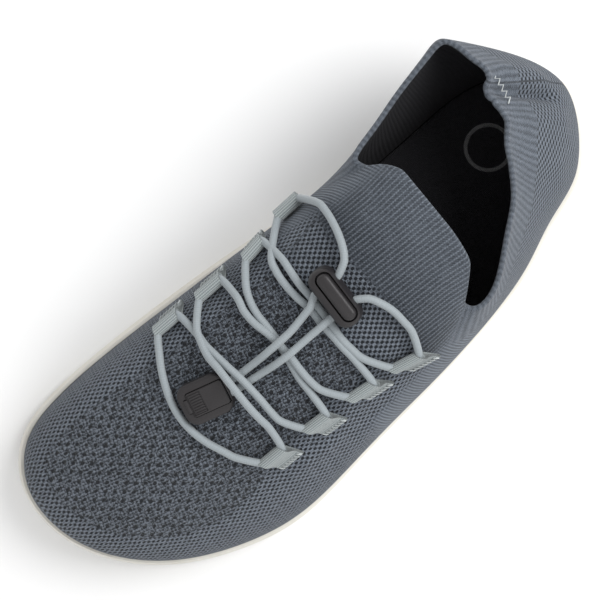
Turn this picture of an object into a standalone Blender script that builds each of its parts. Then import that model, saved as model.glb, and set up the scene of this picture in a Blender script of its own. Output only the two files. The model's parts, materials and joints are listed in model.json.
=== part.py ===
"""A knit barefoot shoe for the left foot, standing empty on its sole.

The frame: +X is the toe, +Y the outer (lateral) side, +Z up, and Z = 0 is the ground.
Sizes are metres. The sole's outline and the knit upper come from one table of stations,
one row for each meridian of the upper, whose lengths are shares of the sizes below.
"""

import math
from collections import namedtuple

import bmesh
import bpy
import numpy as np
from mathutils import Matrix, Vector
from mathutils.bvhtree import BVHTree

MM = 0.001

# Driving sizes of the whole shoe
SHOE_LENGTH = 0.2560
BALL_WIDTH = 0.0968
TONGUE_HEIGHT = 0.0880
CLEARANCE = 0.0003

# Outsole
SOLE_FLOOR = 0.0045
RIM_HEIGHT = 0.0095
RIM_WIDTH = 0.0024
RIM_STEP = 0.0009
TREAD_INSET = 0.0035
TOE_SPRING = 0.0055
TOE_SPRING_START = 0.62
TOE_BUMPER = 0.0016
TREAD_BACK = 0.92
LUG_DEPTH = 0.0012
LUG_PITCH = 0.0125
GROOVE_WIDTH = 0.0022

SolePoint = namedtuple("SolePoint", "inset height on_rim")

# The outsole's side from the ground face up over the rim and down to its floor. The points
# on the rim are raised over the toe by the bumper.
SOLE_SIDE = [
    SolePoint(TREAD_INSET, 0.0, False),
    SolePoint(0.45 * TREAD_INSET, 0.10 * RIM_HEIGHT, False),
    SolePoint(0.10 * TREAD_INSET, 0.38 * RIM_HEIGHT, False),
    SolePoint(0.0, 0.62 * RIM_HEIGHT, False),
    SolePoint(RIM_STEP, 0.68 * RIM_HEIGHT, True),
    SolePoint(RIM_STEP, 0.95 * RIM_HEIGHT, True),
    SolePoint(1.5 * RIM_STEP, RIM_HEIGHT, True),
    SolePoint(RIM_WIDTH, RIM_HEIGHT, True),
    SolePoint(RIM_WIDTH, SOLE_FLOOR, False),
]

# Knit upper and insole
KNIT_WALL = 0.0020
INSOLE_THICKNESS = 0.0030
INSOLE_DOME = 0.0012

# Webbing tabs: each is a strip folded over the lace. The upper ply comes off the fold at the
# shoulder and meets the lower ply at the neck, both shares of the fold's radius.
TAB_LENGTH = 0.0105
TAB_PLY = 0.0008
TAB_EYE_PLAY = 0.0003
TAB_SHOULDER = (0.80, 1.55)
TAB_NECK = 1.70
TAB_NECK_PLIES = 2.2

# Elastic lace
LACE_DIAMETER = 0.0028
LACE_STEP = 0.0060

# Cord lock on the instep, lying across the shoe
LOCK_LENGTH = 0.0235
LOCK_WIDTH = 0.0098
LOCK_HEIGHT = 0.0098
LOCK_CORNER = 0.0044
LOCK_ROUNDING = 0.0026
LOCK_SLOT_WIDTH = 0.0034
LOCK_SLOT_LENGTH = 0.0160
LOCK_SLOT_DEPTH = 0.0030
LOCK_SEAT_LENGTH = 0.0165
LOCK_SEAT_WIDTH = 0.0050
LOCK_PLACE = (-0.086, -0.243)
LOCK_TURN = 88.0

# Clip that ends the lace
CLIP_LENGTH = 0.0190
CLIP_WIDTH = 0.0155
CLIP_HEIGHT = 0.0050
CLIP_CORNER = 0.0046
CLIP_ROUNDING = 0.0012
LID_LENGTH = 0.0130
LID_WIDTH = 0.0096
LID_CORNER = 0.0010
LID_DEPTH = 0.0016
LID_PROUD = 0.0008
LID_SHIFT = 0.0012
CLIP_PLACE = (0.378, -0.244)
CLIP_TURN = -12.5

# A seated piece is lifted along its own Z, which leans this far (a cosine) off the knit's
SEAT_LEAN = 0.9

# How much wider than the shoe the tread's cutters run
CUTTER_REACH = 1.6

# How finely the forms are divided
COLUMNS = 72
ROWS = 16
STRIPS = 6

Station = namedtuple("Station", "foot_x foot_y top_x top_y top_z rise bulge reach drop")

# One row for each meridian of the upper, from the back of the heel along the outer side to
# the toe and back along the inner side. foot_x and top_x are shares of half the length,
# foot_y, top_y and bulge of half the ball width, top_z, rise and drop of the tongue's
# height, and reach is a share of the meridian's own run over the ground.
STATIONS = [
    Station(-1.000, -0.31, -0.787, -0.72, 0.740, 0.30, 0.09, 0.10, 0.16),
    Station(-0.984, -0.13, -0.767, -0.58, 0.740, 0.30, 0.06, 0.20, 0.16),
    Station(-0.938, 0.08, -0.756, -0.44, 0.740, 0.30, 0.05, 0.20, 0.16),
    Station(-0.852, 0.31, -0.715, -0.29, 0.740, 0.30, 0.04, 0.20, 0.16),
    Station(-0.711, 0.46, -0.650, 0.00, 0.742, 0.30, 0.03, 0.22, 0.17),
    Station(-0.570, 0.62, -0.560, 0.22, 0.750, 0.30, 0.03, 0.25, 0.18),
    Station(-0.430, 0.72, -0.450, 0.45, 0.765, 0.30, 0.03, 0.28, 0.19),
    Station(-0.300, 0.78, -0.370, 0.51, 0.785, 0.33, 0.03, 0.36, 0.16),
    Station(-0.150, 0.84, -0.335, 0.44, 0.800, 0.35, 0.03, 0.46, 0.13),
    Station(0.020, 0.89, -0.352, 0.36, 0.855, 0.35, 0.03, 0.52, 0.20),
    Station(0.220, 0.96, -0.390, 0.25, 0.925, 0.34, 0.03, 0.57, 0.32),
    Station(0.414, 1.00, -0.410, 0.17, 0.962, 0.33, 0.03, 0.58, 0.42),
    Station(0.600, 0.90, -0.416, 0.08, 0.985, 0.34, 0.03, 0.60, 0.44),
    Station(0.780, 0.67, -0.420, -0.02, 0.994, 0.35, 0.04, 0.60, 0.45),
    Station(0.906, 0.36, -0.422, -0.11, 1.000, 0.36, 0.05, 0.60, 0.45),
    Station(0.975, 0.04, -0.422, -0.20, 1.000, 0.36, 0.06, 0.60, 0.45),
    Station(1.000, -0.29, -0.422, -0.29, 1.000, 0.36, 0.06, 0.60, 0.45),
    Station(0.982, -0.58, -0.422, -0.38, 0.997, 0.36, 0.05, 0.60, 0.45),
    Station(0.900, -0.85, -0.422, -0.47, 0.990, 0.35, 0.04, 0.60, 0.45),
    Station(0.760, -0.97, -0.422, -0.56, 0.980, 0.34, 0.03, 0.60, 0.44),
    Station(0.560, -1.00, -0.421, -0.65, 0.968, 0.33, 0.03, 0.58, 0.42),
    Station(0.340, -0.99, -0.412, -0.72, 0.940, 0.34, 0.04, 0.56, 0.34),
    Station(0.120, -0.96, -0.385, -0.80, 0.875, 0.35, 0.07, 0.48, 0.23),
    Station(-0.080, -0.91, -0.350, -0.87, 0.805, 0.34, 0.12, 0.36, 0.15),
    Station(-0.250, -0.87, -0.360, -0.96, 0.785, 0.32, 0.14, 0.20, 0.16),
    Station(-0.420, -0.87, -0.450, -1.03, 0.762, 0.30, 0.12, 0.05, 0.17),
    Station(-0.590, -0.89, -0.570, -1.12, 0.748, 0.30, 0.11, -0.05, 0.17),
    Station(-0.740, -0.89, -0.690, -1.19, 0.740, 0.30, 0.15, -0.15, 0.17),
    Station(-0.870, -0.79, -0.768, -1.17, 0.740, 0.30, 0.20, -0.20, 0.18),
    Station(-0.958, -0.59, -0.793, -0.93, 0.740, 0.30, 0.18, -0.05, 0.17),
]


Tab = namedtuple("Tab", "name toe_x toe_y heel_x heel_y lean_x lean_y")

# The fold line of each tab, from its toe end to its heel end, and the way the tab runs from
# there down the side, as shares of half the length and half the ball width.
TABS = [
    Tab("tab_lateral_1", -0.065, 0.384, -0.150, 0.418, -0.040, 0.180),
    Tab("tab_lateral_2", 0.077, 0.346, -0.002, 0.376, -0.038, 0.170),
    Tab("tab_lateral_3", 0.226, 0.346, 0.153, 0.349, -0.030, 0.170),
    Tab("tab_lateral_4", 0.383, 0.352, 0.309, 0.345, -0.033, 0.180),
    Tab("tab_medial_1", -0.086, -0.869, -0.169, -0.890, 0.000, -0.170),
    Tab("tab_medial_2", 0.055, -0.776, -0.017, -0.815, 0.000, -0.170),
    Tab("tab_medial_3", 0.229, -0.768, 0.143, -0.780, -0.010, -0.170),
    Tab("tab_medial_4", 0.383, -0.758, 0.302, -0.774, -0.014, -0.170),
]

# The lace's stretches over the knit. Each row is a place, as shares of half the length and
# half the ball width, and a level: 0 lies on the knit, and 1 lies on another cord.
CROSSINGS = {
    "lace_cross_rear": [
        [(-0.086, -0.869, 0.4), (-0.054, -0.862, 0.4), (-0.022, -0.806, 0.3), (0.004, -0.692, 0.1),
         (0.012, -0.554, 0.0), (0.010, -0.415, 0.0), (0.002, -0.297, 0.0), (0.003, -0.197, 0.0),
         (0.000, -0.038, 0.0), (-0.003, 0.122, 0.0), (-0.008, 0.277, 0.1), (-0.012, 0.350, 0.3)],
        [(-0.030, -0.810, 0.4), (-0.026, -0.743, 0.2), (-0.023, -0.614, 0.0),
         (-0.019, -0.489, 0.0), (-0.020, -0.369, 0.0), (-0.019, -0.229, 0.0), (-0.018, -0.097, 0.0),
         (-0.014, 0.055, 0.0), (-0.022, 0.186, 0.0), (-0.033, 0.291, 0.1), (-0.052, 0.370, 0.3)],
    ],
    "lace_cross_middle": [
        [(0.055, -0.776, 0.4), (0.089, -0.735, 0.3), (0.109, -0.655, 0.1), (0.123, -0.527, 0.0),
         (0.125, -0.380, 0.0), (0.127, -0.233, 0.0), (0.136, -0.092, 0.0), (0.145, 0.050, 0.0),
         (0.147, 0.184, 0.0), (0.146, 0.330, 0.3)],
        [(0.136, -0.782, 0.4), (0.135, -0.731, 0.5), (0.143, -0.632, 0.5), (0.150, -0.511, 0.5),
         (0.141, -0.397, 0.5), (0.131, -0.263, 0.5), (0.127, -0.107, 0.5), (0.128, 0.051, 0.5),
         (0.123, 0.202, 0.3), (0.104, 0.312, 0.2), (0.086, 0.352, 0.4)],
    ],
    "lace_cross_front": [
        [(0.240, -0.764, 0.4), (0.273, -0.714, 0.6), (0.292, -0.609, 0.8), (0.304, -0.499, 1.2),
         (0.303, -0.373, 1.9), (0.304, -0.159, 2.4), (0.304, 0.038, 2.0), (0.299, 0.235, 0.9),
         (0.300, 0.335, 0.4)],
        [(0.296, -0.768, 0.4), (0.290, -0.684, 0.3), (0.293, -0.589, 0.4), (0.282, -0.365, 1.2),
         (0.272, -0.193, 1.5), (0.267, -0.005, 1.3), (0.265, 0.191, 0.6), (0.250, 0.310, 0.3),
         (0.234, 0.346, 0.4)],
    ],
    "lace_toe_bar": [
        [(0.393, -0.752, 0.4), (0.408, -0.713, 0.3), (0.438, -0.579, 0.0), (0.466, -0.396, 0.0),
         (0.477, -0.224, 0.0), (0.469, -0.036, 0.0), (0.444, 0.140, 0.0), (0.420, 0.275, 0.1),
         (0.394, 0.345, 0.4)],
    ],
}
CORDS = {
    "lace_loop_medial": [
        (-0.174, -0.893, 0.4), (-0.190, -0.879, 0.4), (-0.202, -0.818, 0.2), (-0.198, -0.690, 0.1),
        (-0.184, -0.550, 0.4), (-0.162, -0.430, 0.8), (-0.134, -0.350, 1.0)],
    "lace_loop_lateral": [
        (-0.158, 0.424, 0.4), (-0.173, 0.373, 0.2), (-0.176, 0.251, 0.1), (-0.173, 0.116, 0.3),
        (-0.158, -0.002, 0.7), (-0.142, -0.070, 1.0), (-0.130, -0.130, 1.0)],
    "lace_end_a": [
        (-0.046, -0.330, 1.0), (-0.020, -0.305, 1.3), (0.041, -0.266, 1.3), (0.087, -0.242, 1.5),
        (0.148, -0.232, 1.8), (0.208, -0.225, 1.0), (0.256, -0.224, 0.4), (0.288, -0.224, 0.4)],
    "lace_end_b": [
        (-0.046, -0.150, 1.0), (-0.020, -0.138, 1.3), (0.062, -0.128, 1.4), (0.123, -0.121, 1.8),
        (0.160, -0.122, 1.7), (0.208, -0.130, 0.9), (0.258, -0.142, 0.4), (0.288, -0.146, 0.4)],
}


def closed_spline(values, knots, samples):
    """A closed curve of the second kind of smoothness through the rows of values."""
    count = len(values)
    step = np.roll(knots, -1) - knots
    step[-1] += knots_span(knots, values)
    slope = (np.roll(values, -1, axis=0) - values) / step[:, None]
    system = np.zeros((count, count))
    for row in range(count):
        before = step[row - 1]
        after = step[row]
        system[row, row - 1] += after
        system[row, row] += 2.0 * (before + after)
        system[row, (row + 1) % count] += before
    known = 3.0 * (np.roll(step, 1)[:, None] * slope + step[:, None] * np.roll(slope, 1, axis=0))
    tangent = np.linalg.solve(system, known)
    index = np.clip(np.searchsorted(knots, samples, side="right") - 1, 0, count - 1)
    follow = (index + 1) % count
    size = step[index][:, None]
    share = ((samples - knots[index]) / step[index])[:, None]
    return ((1 + 2 * share) * (1 - share) ** 2 * values[index]
            + share * (1 - share) ** 2 * size * tangent[index]
            + share ** 2 * (3 - 2 * share) * values[follow]
            + share ** 2 * (share - 1) * size * tangent[follow])


def knots_span(knots, values):
    """The length that closes the loop of knots: from the last row back round to the first."""
    closing = np.linalg.norm(values[0, :2] - values[-1, :2])
    return closing + knots[-1]


def station_rows():
    """The table in metres: one row of nine numbers for each station."""
    half_length = SHOE_LENGTH / 2
    half_width = BALL_WIDTH / 2
    sizes = Station(half_length, half_width, half_length, half_width, TONGUE_HEIGHT,
                    TONGUE_HEIGHT, half_width, 1.0, TONGUE_HEIGHT)
    return np.array(STATIONS, dtype=float) * np.array(sizes)


def meridians(columns):
    """The stations read at evenly spaced places round the sole, heel first."""
    rows = station_rows()
    edges = np.linalg.norm(np.roll(rows[:, :2], -1, axis=0) - rows[:, :2], axis=1)
    knots = np.concatenate([[0.0], np.cumsum(edges)[:-1]])
    toe = knots[len(rows) // 2 + 1]
    total = edges.sum()
    half = columns // 2
    outer = toe * np.arange(half) / half
    inner = toe + (total - toe) * np.arange(half) / half
    samples = np.concatenate([outer, inner])
    read = closed_spline(rows, knots, samples)
    return read


def outward(points):
    """The outward normal of a closed outline in the ground plane."""
    along = np.roll(points, -1, axis=0) - np.roll(points, 1, axis=0)
    normal = np.stack([-along[:, 1], along[:, 0]], axis=1)
    return normal / np.linalg.norm(normal, axis=1)[:, None]


def spring(x):
    """How far the sole has risen from the ground at x, towards the toe."""
    start = TOE_SPRING_START * SHOE_LENGTH / 2
    share = np.clip((x - start) / (SHOE_LENGTH / 2 - start), 0.0, None)
    return TOE_SPRING * share ** 2


def outline_ring(read, inset, height):
    """The sole's outline moved in by inset at a height above the sprung ground."""
    plan = read[:, :2] - inset * outward(read[:, :2])
    return np.column_stack([plan, height + spring(plan[:, 0])])


def upper_point(read, normal, foot_inset, foot_height, share):
    """Points of the knit's outer face at a share of the way from the sole to its top edge."""
    foot = outline_ring(read, foot_inset, foot_height)
    top = read[:, 2:5]
    rise = read[:, 5:6]
    bulge = read[:, 6:7]
    reach = read[:, 7:8]
    drop = read[:, 8:9]
    up = np.array([0.0, 0.0, 1.0])
    out = np.column_stack([normal, np.zeros(len(normal))])
    run = (foot - top) * np.array([1.0, 1.0, 0.0])
    lower = foot + out * bulge + up * rise
    upper = top + run * reach - up * drop
    rest = 1.0 - share
    return (rest ** 3 * foot + 3 * rest ** 2 * share * lower
            + 3 * rest * share ** 2 * upper + share ** 3 * top)


def knit_rings(columns, rows):
    """Rings of the knit's outer face, from inside the sole's rim to the collar and tongue."""
    read = meridians(columns)
    normal = outward(read[:, :2])
    inset = RIM_WIDTH + CLEARANCE
    hidden = outline_ring(read, inset, SOLE_FLOOR + CLEARANCE)
    shown = RIM_HEIGHT + TOE_BUMPER
    rings = [upper_point(read, normal, inset, shown, row / rows) for row in range(rows + 1)]
    return [hidden] + rings


def join_rings(mesh, rings, closed=False):
    """Quads between rings of points, each ring closed on itself."""
    verts = [[mesh.verts.new(point) for point in ring] for ring in rings]
    pairs = list(zip(verts, verts[1:]))
    if closed:
        pairs.append((verts[-1], verts[0]))
    for low, high in pairs:
        count = len(low)
        for index in range(count):
            follow = (index + 1) % count
            mesh.faces.new((low[follow], low[index], high[index], high[follow]))
    return verts


def cap_across(mesh, ring, dome=0.0):
    """Close a ring with strips of quads from its outer side to its inner side."""
    count = len(ring)
    half = count // 2
    rungs = [[ring[0]] * (STRIPS + 1)]
    for index in range(1, half):
        left = ring[index]
        right = ring[count - index]
        rung = [left]
        for strip in range(1, STRIPS):
            share = strip / STRIPS
            point = left.co.lerp(right.co, share)
            point.z += dome * math.sin(math.pi * share)
            rung.append(mesh.verts.new(point))
        rung.append(right)
        rungs.append(rung)
    rungs.append([ring[half]] * (STRIPS + 1))
    for back, front in zip(rungs, rungs[1:]):
        for strip in range(STRIPS):
            corners = [back[strip], back[strip + 1], front[strip + 1], front[strip]]
            corners = list(dict.fromkeys(corners))
            mesh.faces.new(corners)


def material(name, colour, roughness, metallic=0.0):
    """A Principled material."""
    made = bpy.data.materials.new(name)
    made.use_nodes = True
    shader = made.node_tree.nodes["Principled BSDF"]
    shader.inputs["Base Color"].default_value = (*colour, 1.0)
    shader.inputs["Roughness"].default_value = roughness
    shader.inputs["Metallic"].default_value = metallic
    made.diffuse_color = (*colour, 1.0)
    return made


def add_object(name, mesh, collection, look):
    """Make an object of a bmesh, with outward normals, in a collection."""
    bmesh.ops.recalc_face_normals(mesh, faces=mesh.faces)
    data = bpy.data.meshes.new(name)
    mesh.to_mesh(data)
    mesh.free()
    data.materials.append(look)
    made = bpy.data.objects.new(name, data)
    collection.objects.link(made)
    data.shade_smooth()
    data.set_sharp_from_angle(angle=math.radians(40))
    return made


def make_outsole(parts, cutters, look):
    """The cup sole: ground face, stepped side, rim and the floor that the foot stands on."""
    read = meridians(COLUMNS)
    toe = np.clip(read[:, 0] / (SHOE_LENGTH / 2), 0.0, 1.0) ** 4
    rings = []
    for point in SOLE_SIDE:
        ring = outline_ring(read, point.inset, point.height)
        ring[:, 2] += TOE_BUMPER * toe * point.on_rim
        rings.append(ring)
    mesh = bmesh.new()
    verts = join_rings(mesh, rings)
    cap_across(mesh, verts[0])
    cap_across(mesh, verts[-1])
    sole = add_object("outsole", mesh, parts, look)
    cut_lugs(sole, cutters)
    return sole


def cut_lugs(sole, cutters):
    """Grooves across the ground face leave the lugs of the tread."""
    grooves = bmesh.new()
    front = TOE_SPRING_START * SHOE_LENGTH / 2
    back = TREAD_BACK * SHOE_LENGTH / 2
    for index in range(-int(back / LUG_PITCH), int(front / LUG_PITCH)):
        place = Matrix.Translation(((index + 0.5) * LUG_PITCH, 0.0, 0.0))
        size = Matrix.Diagonal((GROOVE_WIDTH, CUTTER_REACH * BALL_WIDTH, 2 * LUG_DEPTH, 1.0))
        bmesh.ops.create_cube(grooves, size=1.0, matrix=place @ size)
    cutter = add_object("lug_grooves", grooves, cutters, sole.data.materials[0])
    cutter.display_type = "WIRE"
    cutter.hide_render = True
    cut = sole.modifiers.new("lugs", "BOOLEAN")
    cut.operation = "DIFFERENCE"
    cut.solver = "EXACT"
    cut.object = cutter


def make_insole(parts, look):
    """The foam sock: inside the knit, on the sole's floor, a little domed."""
    read = meridians(COLUMNS)
    inset = RIM_WIDTH + KNIT_WALL + 3 * CLEARANCE
    low = SOLE_FLOOR + CLEARANCE
    rings = [outline_ring(read, inset, low), outline_ring(read, inset, low + INSOLE_THICKNESS)]
    mesh = bmesh.new()
    verts = join_rings(mesh, rings)
    cap_across(mesh, verts[0])
    cap_across(mesh, verts[-1], INSOLE_DOME)
    return add_object("insole", mesh, parts, look)


def make_upper(parts, look):
    """The whole knit as one hollow wall, open at the collar and under the foot."""
    mesh = bmesh.new()
    join_rings(mesh, knit_rings(COLUMNS, ROWS))
    upper = add_object("upper", mesh, parts, look)
    wall = upper.modifiers.new("wall", "SOLIDIFY")
    wall.thickness = KNIT_WALL
    wall.offset = -1.0
    wall.use_even_offset = True
    wall.use_quality_normals = True
    wall.use_rim = True
    return upper


class Knit:
    """The knit's outer face, for seating what lies on it."""

    def __init__(self):
        rings = knit_rings(COLUMNS, ROWS)
        points = [tuple(point) for ring in rings for point in ring]
        faces = []
        for row in range(len(rings) - 1):
            for column in range(COLUMNS):
                follow = (column + 1) % COLUMNS
                low = row * COLUMNS
                high = low + COLUMNS
                faces.append((low + follow, low + column, high + column, high + follow))
        self.tree = BVHTree.FromPolygons(points, faces)

    def below(self, place):
        """The knit's point and normal straight below a place given in shares."""
        x = place[0] * SHOE_LENGTH / 2
        y = place[1] * BALL_WIDTH / 2
        start = Vector((x, y, 2 * TONGUE_HEIGHT))
        point, normal, _, _ = self.tree.ray_cast(start, Vector((0, 0, -1)))
        if point is None:
            point, normal, _, _ = self.tree.find_nearest(Vector((x, y, TONGUE_HEIGHT / 2)))
        if normal.z < 0:
            normal = -normal
        return point, normal

    def height(self, point):
        """How far a point stands off the knit, and the knit's normal there."""
        near, normal, _, _ = self.tree.find_nearest(point)
        if normal.z < 0:
            normal = -normal
        return (point - near).dot(normal)

    def lift(self, matrix, corners):
        """How far a flat base has to move along its own Z to clear the knit."""
        lowest = min(self.height(matrix @ Vector(corner)) for corner in corners)
        return max(0.0, CLEARANCE - lowest) / SEAT_LEAN


def base_points(length, width):
    """Places across a flat base, for testing how it sits."""
    shares = [-0.5, -0.25, 0.0, 0.25, 0.5]
    return [(length * across, width * along, 0.0) for across in shares for along in shares]


def frame_matrix(origin, forward, normal):
    """A frame with its X forward in the surface, and its Z along the normal."""
    side = normal.cross(forward).normalized()
    ahead = side.cross(normal).normalized()
    turn = Matrix((ahead, side, normal)).transposed().to_4x4()
    return Matrix.Translation(origin) @ turn


def seat_on_knit(knit, place, turn, length, width):
    """The frame of a flat piece that rests on the knit, clear of it everywhere."""
    point, normal = knit.below(place)
    angle = math.radians(turn)
    forward = Vector((math.cos(angle), math.sin(angle), 0.0))
    matrix = frame_matrix(point, forward, normal)
    rise = knit.lift(matrix, base_points(length, width))
    return matrix @ Matrix.Translation((0.0, 0.0, rise))


def smooth_path(points, step):
    """Even points, about a step apart, on a smooth curve through the route's own points."""
    route = np.array([tuple(point) for point in points])
    padded = np.vstack([2 * route[0] - route[1], route, 2 * route[-1] - route[-2]])
    dense = []
    for index in range(1, len(padded) - 2):
        before, start, end, after = padded[index - 1:index + 3]
        for share in np.linspace(0.0, 1.0, 12, endpoint=False):
            dense.append(0.5 * (2 * start + (end - before) * share
                                + (2 * before - 5 * start + 4 * end - after) * share ** 2
                                + (3 * start - before - 3 * end + after) * share ** 3))
    dense.append(route[-1])
    dense = np.array(dense)
    far = np.concatenate([[0.0], np.cumsum(np.linalg.norm(np.diff(dense, axis=0), axis=1))])
    count = max(3, round(far[-1] / step) + 1)
    even = np.linspace(0.0, far[-1], count)
    return np.column_stack([np.interp(even, far, dense[:, axis]) for axis in range(3)])


def lace_path(knit, route):
    """The centre line of a stretch of lace over the knit."""
    radius = LACE_DIAMETER / 2
    sizes = Vector((SHOE_LENGTH / 2, BALL_WIDTH / 2))
    points = []
    for x, y, level in route:
        stand = radius + CLEARANCE + level * (LACE_DIAMETER + CLEARANCE)
        wanted = Vector((x, y))
        foot = wanted.copy()
        for _ in range(6):
            point, normal = knit.below(foot)
            centre = point + normal * stand
            foot.x += 0.7 * (wanted.x - centre.x / sizes.x)
            foot.y += 0.7 * (wanted.y - centre.y / sizes.y)
        points.append(centre)
    even = [Vector(point) for point in smooth_path(points, LACE_STEP)]
    for point in even:
        low = knit.height(point) - radius - 1.2 * CLEARANCE
        if low < 0.0:
            near, normal, _, _ = knit.tree.find_nearest(point)
            way = normal if normal.z > 0 else -normal
            point -= way * low
    return even


def clear_of(points, stops):
    """The middle run of a path, its ends cut back to stand off each solid by its own space."""
    trees = []
    for solid, space in stops:
        mesh = bmesh.new()
        mesh.from_mesh(solid.data)
        mesh.transform(solid.matrix_world)
        trees.append((BVHTree.FromBMesh(mesh), space))
        mesh.free()
    fine = [Vector(point) for point in smooth_path(points, LACE_STEP / 12)]
    free = [all(tree.find_nearest(point)[3] > space for tree, space in trees) for point in fine]
    middle = len(fine) // 2
    first = middle
    while first > 0 and free[first - 1]:
        first -= 1
    last = middle
    while last < len(fine) - 1 and free[last + 1]:
        last += 1
    return smooth_path(fine[first:last + 1], LACE_STEP)


def make_tube(name, points, parts, look):
    """A round cord along a path, as a curve with filled caps."""
    curve = bpy.data.curves.new(name, "CURVE")
    curve.dimensions = "3D"
    curve.bevel_depth = LACE_DIAMETER / 2
    curve.bevel_resolution = 2
    curve.use_fill_caps = True
    spline = curve.splines.new("POLY")
    spline.points.add(len(points) - 1)
    for knot, point in zip(spline.points, points):
        knot.co = (*point, 1.0)
    curve.materials.append(look)
    made = bpy.data.objects.new(name, curve)
    parts.objects.link(made)
    return made


def curve_to_mesh(made):
    """Turn a curve object into a mesh object with welded caps."""
    bpy.context.view_layer.update()
    seen = made.evaluated_get(bpy.context.evaluated_depsgraph_get())
    data = bpy.data.meshes.new_from_object(seen)
    mesh = bmesh.new()
    mesh.from_mesh(data)
    bmesh.ops.remove_doubles(mesh, verts=mesh.verts, dist=0.01 * MM)
    bmesh.ops.recalc_face_normals(mesh, faces=mesh.faces)
    mesh.to_mesh(data)
    mesh.free()
    name = made.name
    home = made.users_collection[0]
    place = made.matrix_world.copy()
    bpy.data.objects.remove(made, do_unlink=True)
    data.name = name
    solid = bpy.data.objects.new(name, data)
    solid.matrix_world = place
    home.objects.link(solid)
    return solid


def tab_section():
    """The folded strip seen end on: its outline, and the eye that the lace runs through."""
    eye = LACE_DIAMETER / 2 + TAB_EYE_PLAY
    ring = eye + TAB_PLY
    outline = [(TAB_LENGTH - ring, 0.0), (0.0, 0.0)]
    for step in range(1, 8):
        angle = math.radians(-90 - 180 * step / 8)
        outline.append((ring * math.cos(angle), ring + ring * math.sin(angle)))
    outline.append((0.0, 2 * ring))
    outline.append((TAB_SHOULDER[0] * ring, TAB_SHOULDER[1] * ring))
    outline.append((TAB_NECK * ring, TAB_NECK_PLIES * TAB_PLY))
    outline.append((TAB_LENGTH - ring, 2 * TAB_PLY))
    hole = []
    for step in range(10):
        angle = math.tau * step / 10
        hole.append((eye * math.cos(angle), ring + eye * math.sin(angle)))
    return outline, hole


def make_tab(tab, knit, parts, look):
    """A webbing tab: the folded section drawn across the width of the webbing."""
    toe_end, _ = knit.below((tab.toe_x, tab.toe_y))
    heel_end, _ = knit.below((tab.heel_x, tab.heel_y))
    lean = Vector((tab.lean_x * SHOE_LENGTH / 2, tab.lean_y * BALL_WIDTH / 2, 0.0))
    fold = (toe_end + heel_end) / 2
    _, slope = knit.below(((tab.toe_x + tab.heel_x) / 2, (tab.toe_y + tab.heel_y) / 2))
    run = (lean - slope * lean.dot(slope)).normalized()
    middle, normal, _, _ = knit.tree.find_nearest(fold + run * TAB_LENGTH / 2)
    normal = normal if normal.dot(slope) > 0 else -normal
    run = (run - normal * run.dot(normal)).normalized()
    width = heel_end - toe_end
    across = width - normal * width.dot(normal)
    ring = LACE_DIAMETER / 2 + TAB_EYE_PLAY + TAB_PLY
    origin = middle - run * (TAB_LENGTH / 2 - ring)
    sheared = Matrix((run, normal, across)).transposed().to_4x4()
    frame = Matrix.Translation(origin) @ sheared
    base = []
    for along in (-ring, 0.0, 0.25, 0.5, 0.75, 1.0):
        for side in (-0.5, -0.25, 0.0, 0.25, 0.5):
            base.append((along if along < 0 else along * (TAB_LENGTH - ring), 0.0, side))
    rise = knit.lift(frame, base)
    frame = Matrix.Translation(normal * rise) @ frame

    curve = bpy.data.curves.new(tab.name, "CURVE")
    curve.dimensions = "2D"
    curve.fill_mode = "BOTH"
    curve.extrude = 0.5
    for loop in tab_section():
        spline = curve.splines.new("POLY")
        spline.points.add(len(loop) - 1)
        for knot, (x, y) in zip(spline.points, loop):
            knot.co = (x, y, 0.0, 1.0)
        spline.use_cyclic_u = True
    curve.materials.append(look)
    made = bpy.data.objects.new(tab.name, curve)
    parts.objects.link(made)
    solid = curve_to_mesh(made)
    solid.data.transform(frame)
    mesh = bmesh.new()
    mesh.from_mesh(solid.data)
    bmesh.ops.recalc_face_normals(mesh, faces=mesh.faces)
    mesh.to_mesh(solid.data)
    mesh.free()
    return solid


def unite(first, second):
    """Join the second solid into the first, and remove it."""
    join = first.modifiers.new("join", "BOOLEAN")
    join.operation = "UNION"
    join.solver = "EXACT"
    join.object = second
    bpy.context.view_layer.update()
    seen = first.evaluated_get(bpy.context.evaluated_depsgraph_get())
    data = bpy.data.meshes.new_from_object(seen)
    first.modifiers.clear()
    first.data = data
    bpy.data.objects.remove(second, do_unlink=True)


def make_laces(knit, tabs, fittings, parts, look):
    """The crossings as joined solids, and the free stretches as plain cords."""
    beside = LACE_DIAMETER / 2 + 1.6 * CLEARANCE
    webbing = [(tab, beside) for tab in tabs]
    stops = webbing + [(fitting, 2 * CLEARANCE) for fitting in fittings]
    for name, strands in CROSSINGS.items():
        solids = []
        for number, route in enumerate(strands):
            path = clear_of(lace_path(knit, route), webbing)
            tube = make_tube(f"{name}_{number}", path, parts, look)
            solids.append(curve_to_mesh(tube))
        for other in solids[1:]:
            unite(solids[0], other)
        solids[0].name = name
    for name, route in CORDS.items():
        make_tube(name, clear_of(lace_path(knit, route), stops), parts, look)


def block(length, width, corner, low, high):
    """A block with round corners in plan, on its frame's Z axis, between two heights."""
    mesh = bmesh.new()
    outline = []
    for quarter in range(4):
        along = 1 if quarter in (0, 3) else -1
        across = 1 if quarter in (0, 1) else -1
        for step in range(6):
            angle = math.radians(90 * quarter + 18 * step)
            x = along * (length / 2 - corner) + corner * math.cos(angle)
            y = across * (width / 2 - corner) + corner * math.sin(angle)
            outline.append(mesh.verts.new((x, y, low)))
    base = mesh.faces.new(outline)
    grown = bmesh.ops.extrude_face_region(mesh, geom=[base], use_keep_orig=True)
    lifted = [item for item in grown["geom"] if isinstance(item, bmesh.types.BMVert)]
    bmesh.ops.translate(mesh, verts=lifted, vec=(0.0, 0.0, high - low))
    return mesh


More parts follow.
